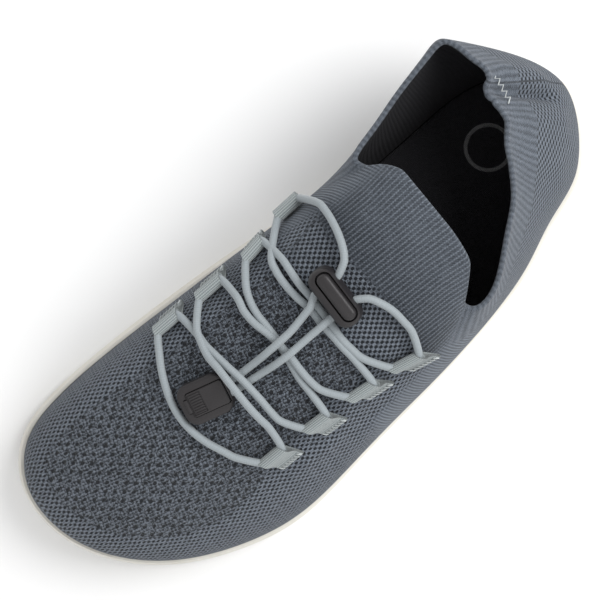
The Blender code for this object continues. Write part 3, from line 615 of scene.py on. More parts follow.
def seat_on_knit(knit, place, turn, length, width):
    """The frame of a flat piece that rests on the knit, clear of it everywhere: its X turned
    forward in the surface, and its Z along the normal."""
    point, normal = knit.below(place)
    angle = math.radians(turn)
    side = normal.cross(Vector((math.cos(angle), math.sin(angle), 0.0))).normalized()
    ahead = side.cross(normal).normalized()
    matrix = Matrix.Translation(point) @ Matrix((ahead, side, normal)).transposed().to_4x4()
    base = [(length * across, width * along, 0.0) for across in BASE_SHARES for along in BASE_SHARES]
    return matrix @ Matrix.Translation((0.0, 0.0, knit.lift(matrix, base)))


def smooth_path(points, step):
    """Even points, about a step apart, on a smooth curve through the route's own points."""
    route = np.array([tuple(point) for point in points])
    padded = np.vstack([2 * route[0] - route[1], route, 2 * route[-1] - route[-2]])
    dense = []
    for index in range(1, len(padded) - 2):
        before, start, end, after = padded[index - 1:index + 3]
        for share in np.linspace(0.0, 1.0, CURVE_PARTS, endpoint=False):
            dense.append(0.5 * (2 * start + (end - before) * share
                                + (2 * before - 5 * start + 4 * end - after) * share ** 2
                                + (3 * start - before - 3 * end + after) * share ** 3))
    dense.append(route[-1])
    dense = np.array(dense)
    far = np.concatenate([[0.0], np.cumsum(np.linalg.norm(np.diff(dense, axis=0), axis=1))])
    count = max(3, round(far[-1] / step) + 1)
    even = np.linspace(0.0, far[-1], count)
    axes = [np.interp(even, far, dense[:, axis]) for axis in range(3)]
    return [Vector(point) for point in zip(*axes)]


def lace_path(knit, route):
    """The centre line of a stretch of lace over the knit."""
    radius = LACE_DIAMETER / 2
    points = []
    for x, y, level in route:
        stand = radius + CLEARANCE + level * (LACE_DIAMETER + CLEARANCE)
        foot = Vector((x, y))
        for _ in range(LACE_ROUNDS):
            point, normal = knit.below(foot)
            centre = point + normal * stand
            foot.x += LACE_SHARE * (x - centre.x / (SHOE_LENGTH / 2))
            foot.y += LACE_SHARE * (y - centre.y / (BALL_WIDTH / 2))
        points.append(centre)
    even = smooth_path(points, LACE_STEP)
    for point in even:
        low = knit.height(point) - radius - LACE_PLAY
        if low < 0.0:
            point -= knit.nearest(point)[1] * low
    return even


def fill(tree, node, inputs):
    """Give a node's inputs their values: a field or a socket is linked, the rest is set."""
    for name, value in inputs.items():
        entry = node.inputs[name]
        source = value.socket if isinstance(value, Field) else value
        if isinstance(source, bpy.types.NodeSocket):
            tree.links.new(source, entry)
        else:
            entry.default_value = (*source, 1.0) if isinstance(source, tuple) else source
    return node


class Field:
    """A number that varies over a surface: a socket of a material, with arithmetic."""

    def __init__(self, tree, socket):
        self.tree = tree
        self.socket = socket

    def math(self, kind, *others):
        node = self.tree.nodes.new("ShaderNodeMath")
        node.operation = kind
        fill(self.tree, node, dict(enumerate((self, *others))))
        return Field(self.tree, node.outputs[0])

    def __add__(self, other):
        return self.math("ADD", other)

    def __sub__(self, other):
        return self.math("SUBTRACT", other)

    def __mul__(self, other):
        return self.math("MULTIPLY", other)

    def wave(self, pitch):
        """A cosine of this field with a pitch in the field's own unit."""
        return (self * (math.tau / pitch)).math("COSINE")

    def ramp(self, low, high):
        """0 below low, 1 above high, smooth between."""
        node = self.tree.nodes.new("ShaderNodeMapRange")
        node.interpolation_type = "SMOOTHSTEP"
        fill(self.tree, node, {"Value": self, "From Min": low, "From Max": high})
        return Field(self.tree, node.outputs["Result"])

    def flip(self):
        return (self * -1.0) + 1.0


class Look:
    """A procedural material under construction."""

    def __init__(self, name):
        self.material = bpy.data.materials.new(name)
        self.material.use_nodes = True
        self.tree = self.material.node_tree
        self.shader = self.tree.nodes["Principled BSDF"]

    def field(self, name):
        """A field stored on the mesh."""
        node = self.tree.nodes.new("ShaderNodeAttribute")
        node.attribute_name = name
        return Field(self.tree, node.outputs["Fac"])

    def place(self):
        """The place on the piece in millimetres, as three fields."""
        node = self.tree.nodes.new("ShaderNodeTexCoord")
        split = self.tree.nodes.new("ShaderNodeSeparateXYZ")
        self.tree.links.new(node.outputs["Object"], split.inputs[0])
        return [Field(self.tree, output) * 1000.0 for output in split.outputs]

    def noise(self, x, y, scale, detail=2.0, z=0.0):
        """Noise from 0 to 1 over two or three fields."""
        place = fill(self.tree, self.tree.nodes.new("ShaderNodeCombineXYZ"), {0: x, 1: y, 2: z})
        node = fill(self.tree, self.tree.nodes.new("ShaderNodeTexNoise"),
                    {"Scale": scale, "Detail": detail, "Vector": place.outputs[0]})
        return Field(self.tree, node.outputs["Fac"])

    def colour(self, factor, low, high):
        """A colour between two, by a field, a flat colour or another mix."""
        node = self.tree.nodes.new("ShaderNodeMix")
        node.data_type = "RGBA"
        return fill(self.tree, node, {0: factor, 6: low, 7: high}).outputs[2]

    def finish(self, colour, roughness, height=None, depth=0.0, sheen=0.0):
        """Join colour, roughness, bump height (0 to 1, depth in metres) and nap."""
        inputs = {"Base Color": colour, "Roughness": roughness, "Sheen Weight": sheen}
        if height:
            bump = fill(self.tree, self.tree.nodes.new("ShaderNodeBump"),
                        {"Distance": depth, "Height": height})
            inputs["Normal"] = bump.outputs["Normal"]
        fill(self.tree, self.shader, inputs)
        return self.material


def holes(across, along, pitches, start, full):
    """Holes in a staggered lattice: 1 in a hole, 0 on the yarn between."""
    return (across.wave(pitches[0]) * along.wave(pitches[1])).ramp(start, full)


def knit_look():
    """The knit's zones, each with its own stitch, over one melange of grey yarns. The plain
    factors are how much each wave or noise adds to the tone, from 0 for dark to 1 for pale."""
    look = Look("grey_knit_looks")
    along = look.field("along")
    girth = look.field("girth")
    round_way = look.field("round")
    edge = look.field("edge")
    fleck = look.noise(along, girth, 1.1, 3.0, edge)
    cloud = look.noise(along, girth, 0.12, 2.0, edge)
    thread = look.noise(along, girth, 2.6, 1.0, edge)
    wander = (look.noise(along, girth, 0.35) - 0.5) * 1.1

    ply = look.noise(along * 0.6, girth, 1.1, 2.0, edge)
    stray = look.noise(along - girth * 0.8, girth + along * 0.3, 1.15, 2.0)
    slant = (girth + along * 0.25 + (stray - 0.5) * 2.4).wave(1.25)
    cross_slant = (along - girth * 0.35 + (ply - 0.5) * 2.4).wave(1.55)
    pins = holes(along + wander, girth + wander, PIN_PITCHES, 0.54, 0.76)
    small_pins = holes(along + wander + 1.3, girth - wander, SMALL_PIN_PITCHES, 0.62, 0.92)
    small_pins = small_pins * fleck.ramp(0.47, 0.58)
    twill = slant * 0.26 + cross_slant * 0.18 + (ply - 0.5) * 0.9 + (stray - 0.5) * 0.9 + 0.44
    twill = twill - pins * 1.30 - small_pins * 0.70

    band_holes = holes(along, girth, BAND_PITCHES, 0.04, 0.40)
    band = (girth + along * 0.18).wave(1.05) * 0.18 + (ply - 0.5) * 0.85 + 0.66
    band = band - band_holes * 0.95

    net_holes = holes(along, girth, NET_PITCHES, -0.06, 0.28)
    net = net_holes.flip() * ((ply - 0.5) * 1.1 + 0.70) - 0.06

    rib = girth.wave(TONGUE_PITCH)
    line = rib.ramp(0.30, 0.90)
    tongue = rib * 0.04 + line * (along.wave(0.95) * 0.10 + 0.20) + 0.25
    tongue = tongue + (along + girth * 1.1).wave(1.2) * line.flip() * 0.05 + (ply - 0.5) * 0.30
    tongue = tongue + (along * -1.0).ramp(24.0, 50.0) * 0.12

    waver = (look.noise(edge * 0.12, round_way * 0.25, 1.0) - 0.5) * 1.2
    collar = (round_way + waver).wave(COLLAR_PITCH) * 0.09 + (ply - 0.5) * 0.4 + 0.47
    collar = collar + edge.wave(1.0) * round_way.wave(0.9) * 0.12

    heel_holes = holes(round_way, edge, HEEL_PITCHES, 0.02, 0.45)
    heel = round_way.wave(1.15) * 0.08 + (ply - 0.5) * 0.4 + 0.62 - heel_holes * 0.68

    side = (along + girth * 0.25).wave(1.25) * 0.20 + girth.wave(1.1) * 0.06 + 0.52

    zones = ((band, "in_band"), (net, "in_net"), (tongue, "in_tongue"), (side, "in_side"),
             (heel, "in_heel"), (collar, "in_collar"))
    tone = twill
    for stitch, name in zones:
        weight = look.field(name)
        tone = tone * weight.flip() + stitch * weight
    height = tone + (fleck - 0.5) * 0.10
    shade = tone + (fleck - 0.5) * 0.34 + (thread - 0.5) * 0.20 + (cloud - 0.5) * 0.10
    yarn = look.colour(shade.ramp(0.0, 1.0), *KNIT_COLOURS)
    return look.finish(yarn, 0.92, height, KNIT_BUMP, sheen=0.08)


def lining_look():
    """Black lining: a fine rib that hardly shows."""
    look = Look("black_lining_looks")
    grain = look.noise(look.field("round"), look.field("edge"), 1.6, 2.0)
    rib = look.field("round").wave(1.4)
    colour = look.colour(grain, *LINING_COLOURS)
    return look.finish(colour, 0.95, rib * 0.3 + grain, 0.0003)


def insole_look():
    """Black woven top of the insole, with a plain printed ring."""
    look = Look("insole_foam_looks")
    along, side, _ = look.place()
    weave = (along + side).wave(1.1) * (along - side).wave(1.1)
    grain = look.noise(along, side, 1.4, 3.0)
    ahead = along - RING_PLACE[0]
    beside = side - RING_PLACE[1]
    reach = (ahead * ahead + beside * beside).math("SQRT")
    ring = (reach - RING_RADIUS).math("ABSOLUTE").ramp(*RING_EDGE).flip() * (weave * 0.2 + 0.7)
    base = look.colour(weave * 0.2 + grain * 0.6, *INSOLE_COLOURS)
    colour = look.colour(ring, base, RING_COLOUR)
    return look.finish(colour, 0.85, weave * 0.5 + grain, 0.0002, sheen=0.08)


def rubber_look():
    """Off-white rubber with a faint grain."""
    look = Look("sole_rubber_looks")
    along, side, high = look.place()
    grain = look.noise(along, side, 2.5, 3.0, high)
    cloud = look.noise(along, side, 0.08, 2.0, high)
    colour = look.colour(cloud, *RUBBER_COLOURS)
    return look.finish(colour, 0.52, grain, 0.00010)


def webbing_look():
    """Grosgrain: fine ribs across the ribbon, and the weave between them."""
    look = Look("grey_webbing_looks")
    across = look.field("across")
    along = look.field("along")
    rib = across.wave(0.85)
    weave = along.wave(0.75) * 0.35 + 0.65
    grain = look.noise(across, along, 2.0, 2.0)
    shade = rib * 0.26 + weave * 0.18 + (grain - 0.5) * 0.45 + 0.42
    colour = look.colour(shade.ramp(0.0, 1.0), *WEBBING_COLOURS)
    return look.finish(colour, 0.8, rib * 0.5 + weave * 0.5 + 0.5, 0.00022, sheen=0.2)


def elastic_look():
    """The braided cover of the elastic lace."""
    look = Look("grey_elastic_looks")
    along = look.field("along")
    turn = look.field("turn")
    lead = along * (math.tau / BRAID_PITCH)
    spread = turn * BRAID_STRANDS
    braid = (lead + spread).math("COSINE") * (lead - spread).math("COSINE")
    grain = look.noise(along, turn, 1.6, 2.0)
    shade = braid * 0.08 + (grain - 0.5) * 0.30 + 0.5
    colour = look.colour(shade.ramp(0.0, 1.0), *ELASTIC_COLOURS)
    return look.finish(colour, 0.72, braid * 0.4 + grain * 0.4 + 0.5, 0.00006, sheen=0.25)


def plastic_look():
    """Moulded black plastic with a spark-eroded grain."""
    look = Look("black_plastic_looks")
    along, side, high = look.place()
    fine = look.noise(along, side, 2.6, 2.0, high)
    colour = look.colour(fine, *PLASTIC_COLOURS)
    return look.finish(colour, 0.46, fine, 0.00008)


def thread_look():
    """Pale sewing thread."""
    look = Look("thread_looks")
    along = look.place()[0]
    colour = look.colour(look.noise(along, along, 3.0), *THREAD_COLOURS)
    return look.finish(colour, 0.7)


def section_lengths(knit):
    """Lengths over the knit from its middle line, for slices across the shoe.

    A table of slices by angles about each slice's own middle.
    """
    slices = np.arange(SLICE_FIRST, SLICE_LAST, SLICE_STEP)
    angles = np.radians(np.linspace(-SLICE_ANGLE, SLICE_ANGLE, SLICE_RAYS))
    table = []
    for x in slices:
        middle = slice_middle(x)
        run = []
        for angle in angles:
            way = Vector((0.0, math.sin(angle), math.cos(angle)))
            point, _, _, _ = knit.tree.ray_cast(middle, way)
            run.append(tuple(point) if point else run[-1] if run else tuple(middle))
        run = np.array(run)
        steps = np.linalg.norm(np.diff(run, axis=0), axis=1)
        length = np.concatenate([[0.0], np.cumsum(steps)])
        table.append(length - length[SLICE_RAYS // 2])
    return slices, angles, np.array(table)


def slice_middle(x):
    """The point inside the shoe that a slice's angles turn about."""
    return Vector((x, SLICE_SIDE * BALL_WIDTH / 2, SLICE_LEVEL + float(spring(np.array([x]))[0])))


def girth_field(points, knit):
    """Millimetres over the knit from the middle line, at each point."""
    slices, angles, table = section_lengths(knit)
    x = np.clip(points[:, 0], slices[0], slices[-1] - 1e-6)
    level = SLICE_LEVEL + spring(x)
    angle = np.arctan2(points[:, 1] - SLICE_SIDE * BALL_WIDTH / 2, points[:, 2] - level)
    angle = np.clip(angle, angles[0], angles[-1] - 1e-6)
    row = (x - slices[0]) / SLICE_STEP
    column = (angle - angles[0]) / (angles[1] - angles[0])
    low_row = np.clip(row.astype(int), 0, len(slices) - 2)
    low_column = np.clip(column.astype(int), 0, len(angles) - 2)
    up = row - low_row
    on = column - low_column
    return 1000.0 * ((1 - up) * (1 - on) * table[low_row, low_column]
                     + up * (1 - on) * table[low_row + 1, low_column]
                     + (1 - up) * on * table[low_row, low_column + 1]
                     + up * on * table[low_row + 1, low_column + 1])


def soft(value, low, high):
    """0 below low, 1 above high, smooth between."""
    share = np.clip((value - low) / (high - low), 0.0, 1.0)
    return share * share * (3.0 - 2.0 * share)


def from_rim(points):
    """Millimetres over the ground from the sole's outline, at each point."""
    outline = meridians(SOLE_COLUMNS)[:, :2]
    tree = KDTree(len(outline))
    for index, (x, y) in enumerate(outline):
        tree.insert((x, y, 0.0), index)
    tree.balance()
    return np.array([1000.0 * tree.find((x, y, 0.0))[2] for x, y in points[:, :2]])


def crease_shift(points):
    """How far the knit's creases and pulls move each point along its normal."""
    shift = np.zeros(len(points))
    for crease in itertools.starmap(Crease, CREASES):
        start = HALF_SIZES * [crease.start_x, crease.start_y]
        end = HALF_SIZES * [crease.end_x, crease.end_y]
        way = end - start
        length = np.linalg.norm(way)
        way /= length
        place = points[:, :2] - start
        along = place @ way / length
        beside = place @ np.array([-way[1], way[0]]) / crease.width
        fade = soft(along, *CREASE_START) * (1.0 - soft(along, *CREASE_END))
        on_level = soft(points[:, 2], crease.above, crease.above + CREASE_RISE)
        shift += crease.height * fade * on_level * np.exp(-beside ** 2)
    return shift


def under(value, limit, blend):
    """1 where a value is under its limit, 0 over it, smooth over a blend to each side."""
    return 1.0 - soft(value, limit - blend, limit + blend)


def zone_fields(points, edge, rim, brim):
    """How much each stitch shows at each point, all from 0 to 1. brim is the height of the
    knit's edge above the point."""
    x = points[:, 0] * 1000.0
    outer = points[:, 1] * 1000.0 > SLICE_SIDE * BALL_WIDTH * 500.0
    reach = np.where(outer, np.interp(x, *BAND_OUTER), np.interp(x, *BAND_INNER))
    band = under(rim, reach, BAND_BLEND)
    collar = under(brim, *COLLAR_BRIM)
    return {
        "in_band": band,
        "in_net": under(x, *NET_FRONT) * (1 - band),
        "in_tongue": under(x, *TONGUE_FRONT) * (1 - band),
        "in_side": under(x, *SIDE_FRONT) * under(rim, np.where(outer, *SIDE_REACH), SIDE_BLEND),
        "in_heel": under(x, *HEEL_FRONT) * collar,
        "in_collar": under(x, *COLLAR_FRONT) * collar * under(edge, *COLLAR_DEPTH),
    }


def make_knit(knit, look, lining):
    """The dense knit with its rolled edge, and the black lining inside it."""
    grid = knit_rings(KNIT_COLUMNS, np.linspace(0.0, 1.0, KNIT_ROWS + 1))
    size = grid.shape[:2]
    flat = grid.reshape(-1, 3)
    girth = girth_field(flat, knit)
    step = np.linalg.norm(np.diff(grid, axis=0), axis=2)
    climbed = np.concatenate([np.zeros((1, KNIT_COLUMNS)), np.cumsum(step, axis=0)])
    edge = 1000.0 * (climbed[-1] - climbed)
    brim = np.linalg.norm(np.roll(grid[-1], -1, axis=0) - grid[-1], axis=1)
    around = np.broadcast_to(1000.0 * np.concatenate([[0.0], np.cumsum(brim)[:-1]]), size)
    high = np.broadcast_to(1000.0 * grid[-1, :, 2], size).ravel()
    zones = zone_fields(flat, edge.ravel(), from_rim(flat), high)
    grid = grid + grid_normals(grid) * crease_shift(flat).reshape(size)[..., None]
    normal = grid_normals(grid)

    half = KNIT_WALL / 2
    climb = grid[-1] - grid[-2]
    climb /= np.linalg.norm(climb, axis=1)[:, None]
    centre = grid[-1] - normal[-1] * half
    lip = [centre + normal[-1] * half * math.cos(angle) + climb * half * math.sin(angle)
           for angle in np.radians(LIP_ANGLES)]
    lip += [grid[back] - normal[back] * KNIT_WALL for back in LIP_ROWS]
    rings = np.concatenate([grid, np.array(lip)])
    fields = {"along": 1000.0 * grid[..., 0], "girth": girth, "round": around, "edge": edge}
    fields.update(zones)
    for name, values in fields.items():
        values = values.reshape(size)
        fields[name] = np.concatenate([values, np.repeat(values[-1:], len(lip), axis=0)])
    fields["edge"][-len(lip):] = -np.arange(len(lip))[:, None]
    shows(add_rings("knit", rings, look, fields), "grey_knit", "upper")

    rows = [*range(len(grid) - 2, 0, -LINING_ROWS), 0]
    inner = [grid[row] - normal[row] * (KNIT_WALL + LINING_GAP) for row in rows]
    inner.append(outline_ring(meridians(KNIT_COLUMNS), RIM_WIDTH + 2 * KNIT_WALL,
                              SOLE_FLOOR + CLEARANCE / 2))
    rows.append(0)
    fields = {"round": around[rows][:, ::LINING_COLUMNS], "edge": edge[rows][:, ::LINING_COLUMNS]}
    rings = np.array(inner)[:, ::LINING_COLUMNS]
    shows(add_rings("lining", rings, lining, fields), "grey_knit")


def settle(made):
    """Apply a piece's modifiers for good."""
    bpy.context.view_layer.update()
    seen = made.evaluated_get(bpy.context.evaluated_depsgraph_get())
    data = bpy.data.meshes.new_from_object(seen)
    made.modifiers.clear()
    made.data = data


def join_rings(mesh, rings):
    """Quads between rings of points, each ring closed on itself."""
    verts = [[mesh.verts.new(point) for point in ring] for ring in rings]
    flat = [vert for ring in verts for vert in ring]
    for quad in grid_faces(len(rings), len(rings[0])):
        mesh.faces.new([flat[index] for index in quad])
    return verts


def cap_across(mesh, ring, strips, dome=0.0):
    """Close a ring with strips of quads from its outer side to its inner side."""
    count = len(ring)
    half = count // 2
    rungs = [[ring[0]] * (strips + 1)]
    for index in range(1, half):
        left = ring[index]
        right = ring[count - index]
        rung = [left]
        for strip in range(1, strips):
            share = strip / strips
            point = left.co.lerp(right.co, share)
            point.z += dome * math.sin(math.pi * share)
            rung.append(mesh.verts.new(point))
        rung.append(right)
        rungs.append(rung)
    rungs.append([ring[half]] * (strips + 1))
    for back, front in zip(rungs, rungs[1:]):
        for strip in range(strips):
            corners = [back[strip], back[strip + 1], front[strip + 1], front[strip]]
            mesh.faces.new(list(dict.fromkeys(corners)))


def from_bmesh(name, mesh, look, frame=None, angle=SHARP_ANGLE):
    """An object of a bmesh, with outward normals."""
    bmesh.ops.recalc_face_normals(mesh, faces=mesh.faces)
    data = bpy.data.meshes.new(name)
    mesh.to_mesh(data)
    mesh.free()
    data.materials.append(look)
    smooth_faces(data, angle)
    return add_object(name, data, frame)


def cut(made, *cutters):
    """Cut an object with others, which go."""
    for cutter in cutters:
        step = made.modifiers.new("cut", "BOOLEAN")
        step.operation = "DIFFERENCE"
        step.solver = "EXACT"
        step.object = cutter
    settle(made)
    for cutter in cutters:
        bpy.data.objects.remove(cutter, do_unlink=True)


def make_sole(look):
    """The cup sole with its rounded side, its step and rim, and the grooves of the tread."""
    read = meridians(SOLE_COLUMNS)
    toe = np.clip(read[:, 0] / (SHOE_LENGTH / 2), 0.0, 1.0) ** 4
    rings = []
    for point in itertools.starmap(SolePoint, SOLE_SIDE):
        ring = outline_ring(read, point.inset, point.height)
        ring[:, 2] += TOE_BUMPER * toe * point.on_rim
        rings.append(ring)
    mesh = bmesh.new()
    verts = join_rings(mesh, rings)
    cap_across(mesh, verts[0], SOLE_STRIPS)
    cap_across(mesh, verts[-1], SOLE_STRIPS)
    sole = from_bmesh("sole", mesh, look, angle=SOLE_SHARP_ANGLE)
    grooves = bmesh.new()
    front = TOE_SPRING_START * SHOE_LENGTH / 2
    back = TREAD_BACK * SHOE_LENGTH / 2
    for index in range(-int(back / LUG_PITCH), int(front / LUG_PITCH)):
        slab(grooves, ((index + 0.5) * LUG_PITCH, 0.0, 0.0),
             GROOVE_WIDTH, CUTTER_REACH * BALL_WIDTH, 2 * LUG_DEPTH)
    cut(sole, from_bmesh("grooves", grooves, look))
    shows(sole, "sole_rubber", "outsole")


def make_insole(look):
    """The insole, a little domed and with a rounded edge."""
    read = meridians(INSOLE_COLUMNS)
    inset = RIM_WIDTH + KNIT_WALL + 3 * CLEARANCE
    low = SOLE_FLOOR + CLEARANCE
    top = low + INSOLE_THICKNESS
    edge = INSOLE_THICKNESS / 4
    levels = ((0.0, low), (0.0, top - edge), (0.3 * edge, top - 0.3 * edge), (edge, top))
    rings = [outline_ring(read, inset + more, level) for more, level in levels]
    mesh = bmesh.new()
    verts = join_rings(mesh, rings)
    cap_across(mesh, verts[0], SOLE_STRIPS)
    cap_across(mesh, verts[-1], INSOLE_STRIPS, INSOLE_DOME)
    shows(from_bmesh("insole_top", mesh, look), "insole_foam", "insole")


def tab_frame(tab, knit):
    """The leaning frame of a tab: along its run, off the knit and across the webbing."""
    toe_end, _ = knit.below((tab.toe_x, tab.toe_y))
    heel_end, _ = knit.below((tab.heel_x, tab.heel_y))
    lean = Vector((tab.lean_x * SHOE_LENGTH / 2, tab.lean_y * BALL_WIDTH / 2, 0.0))
    fold = (toe_end + heel_end) / 2
    _, slope = knit.below(((tab.toe_x + tab.heel_x) / 2, (tab.toe_y + tab.heel_y) / 2))
    run = (lean - slope * lean.dot(slope)).normalized()
    middle, normal, _, _ = knit.tree.find_nearest(fold + run * TAB_LENGTH / 2)
    normal = normal if normal.dot(slope) > 0 else -normal
    run = (run - normal * run.dot(normal)).normalized()
    width = heel_end - toe_end
    across = width - normal * width.dot(normal)
    origin = middle - run * (TAB_LENGTH / 2 - TAB_RING)
    sheared = Matrix((run, normal, across)).transposed().to_4x4()
    frame = Matrix.Translation(origin) @ sheared
    reaches = [(share + 0.5) * (TAB_LENGTH - TAB_RING) for share in BASE_SHARES]
    rise = knit.lift(frame, [(reach, 0.0, side) for reach in [-TAB_RING] + reaches
                             for side in BASE_SHARES])
    return Matrix.Translation(normal * rise) @ frame, across.length


def tab_section():
    """The folded strip seen end on: its outline, and the eye that the lace runs through."""
    ring = TAB_RING
    end = TAB_LENGTH - ring
    outline = [(end * share, 0.0) for share in (1.0, 0.75, 0.5, 0.25, 0.0)]
    for step in range(1, TAB_ARC):
        angle = math.radians(-90 - 180 * step / TAB_ARC)
        outline.append((ring * math.cos(angle), ring + ring * math.sin(angle)))
    for step in range(TAB_SLOPE + 1):
        share = step / TAB_SLOPE
        ease = share * share * (3 - 2 * share)
        outline.append((TAB_SLOPE_RUN * share, 2 * ring + (TAB_NECK - 2 * ring) * ease))
    for share in (0.25, 0.5, 0.75, 0.93):
        outline.append((TAB_SLOPE_RUN + (end - TAB_SLOPE_RUN) * share, TAB_NECK))
    outline.append((end, TAB_END))
    eye = LACE_DIAMETER / 2 + TAB_EYE_PLAY
    turns = [math.pi * step / TAB_ARC for step in range(2 * TAB_ARC)]
    return outline, [(eye * math.cos(turn), ring + eye * math.sin(turn)) for turn in turns]


def make_tab(tab, frame, width, look):
    """A webbing tab: the folded section drawn across the webbing, with its fields."""
    outline, hole = tab_section()
    steps = np.linalg.norm(np.diff(outline, axis=0), axis=1)
    run = np.concatenate([[0.0], np.cumsum(steps), np.zeros(len(hole))]) * 1000.0
    count = len(run)
    points = []
    across = []
    along = []
    for side in np.linspace(-0.5, 0.5, TAB_CROSS + 1):
        bow = 1.0 + TAB_BOW * (1.0 - (2 * side) ** 2)
        bowed = [(x, y * bow if x > TAB_RING else y) for x, y in outline]
        points += [frame @ Vector((x, y, side)) for x, y in bowed + hole]
        across += list(run)
        along += [side * width * 1000.0] * count
    faces = []
    for low in range(0, TAB_CROSS * count, count):
        faces += [quad[::-1] for quad in ring_quads(low, low + count, len(outline))]
        faces += ring_quads(low + len(outline), low + len(outline) + count, len(hole))
    loops = [[Vector((x, y, 0.0)) for x, y in loop] for loop in (outline, hole)]
    for triangle in tessellate_polygon(loops):
        faces.append(tuple(triangle))
        faces.append(tuple(TAB_CROSS * count + index for index in reversed(triangle)))
    made = add_mesh(tab.name + "_webbing", points, faces, look,
                    {"across": across, "along": along}, creases=True)
    shows(made, "grey_webbing", tab.name)


def tube(path, radius, sides=TUBE_SIDES):
    """A round tube along a path: points, faces, and fields of millimetres along it and
    turns of the angle round it."""
    points = []
    along = []
    turn = []
    normal = (path[1] - path[0]).normalized().orthogonal().normalized()
    far = 0.0
    for index, place in enumerate(path):
        back = path[max(0, index - 1)]
        ahead = path[min(len(path) - 1, index + 1)]
        way = (ahead - back).normalized()
        normal = (normal - way * normal.dot(way)).normalized()
        side = way.cross(normal)
        if index:
            far += (place - back).length
        for step in range(sides):
            angle = math.tau * step / sides
            points.append(place + radius * (normal * math.cos(angle) + side * math.sin(angle)))
            along.append(far * 1000.0)
            turn.append(angle)
    faces = [quad[::-1] for quad in grid_faces(len(path), sides)]
    faces.append(tuple(reversed(range(sides))))
    faces.append(tuple(range(len(points) - sides, len(points))))
    return points, faces, {"along": along, "turn": turn}


def add_lace(name, path, look, node):
    """A stretch of lace on its path, for its CAD node."""
    points, faces, fields = tube(path, LACE_DIAMETER / 2)
    return shows(add_mesh(name, points, faces, look, fields, creases=True), "grey_elastic", node)


def lead_on(path, ways, reach, space, from_above):
    """Lead a path on into each way in, a mouth and a point inside it, that one of its ends
    comes within reach of. Its points within a space of the mouth go first. Seen from above,
    heights don't count for the reach, and the end's own distance adds to the space."""
    for _ in range(2):
        gaps = [way[0] - path[0] for way in ways]
        sizes = [gap.xy.length if from_above else gap.length for gap in gaps]
        near = sizes.index(min(sizes))
        if sizes[near] < reach:
            bare = gaps[near].length + space if from_above else space
            mouth, inside = ways[near]
            while (path[0] - mouth).length < bare:
                path.pop(0)
            path = [inside, mouth] + path
        path.reverse()
    return smooth_path(path, LACE_STEP / 4)


def lace_route(knit, route, eyes):
    """A stretch of lace, its ends led into the middle of the webbing eyes they come to."""
    path = smooth_path(lace_path(knit, route), LACE_STEP)
    return lead_on(path, eyes, EYE_REACH, EYE_SPACE, True)


def block(name, look, frame, length, width, corner, low, high, steps=CORNER_STEPS):
    """A block with round corners in plan, on its frame's Z axis, between two heights."""
    mesh = bmesh.new()
    outline = []
    for quarter in range(4):
        along = 1 if quarter in (0, 3) else -1
        across = 1 if quarter in (0, 1) else -1
        for step in range(steps + 1):
            angle = math.radians(90 * quarter + 90 * step / steps)
            x = along * (length / 2 - corner) + corner * math.cos(angle)
            y = across * (width / 2 - corner) + corner * math.sin(angle)
            outline.append(mesh.verts.new((x, y, low)))
    base = mesh.faces.new(outline)
    grown = bmesh.ops.extrude_face_region(mesh, geom=[base], use_keep_orig=True)
    lifted = [item for item in grown["geom"] if isinstance(item, bmesh.types.BMVert)]
    bmesh.ops.translate(mesh, verts=lifted, vec=(0.0, 0.0, high - low))
    return from_bmesh(name, mesh, look, frame)


def slab(mesh, place, length, width, height):
    """A plain block in a mesh of several, about its own place."""
    size = Matrix.Diagonal((length, width, height, 1.0))
    bmesh.ops.create_cube(mesh, size=1.0, matrix=Matrix.Translation(place) @ size)


def inlet(frame, x, y, level, inside_x, inside_y):
    """A cord's way into a fitting: its mouth, and a point inside it."""
    return frame @ Vector((x, y, level)), frame @ Vector((inside_x, inside_y, level))


def rounded(made, width, segments):
    """Round a piece's edges for good."""
    edge = made.modifiers.new("edges", "BEVEL")
    edge.width = width
    edge.segments = segments
    edge.limit_method = "ANGLE"
    edge.angle_limit = math.radians(ROUNDED_ANGLE)
    settle(made)
    smooth_faces(made.data)
    return made


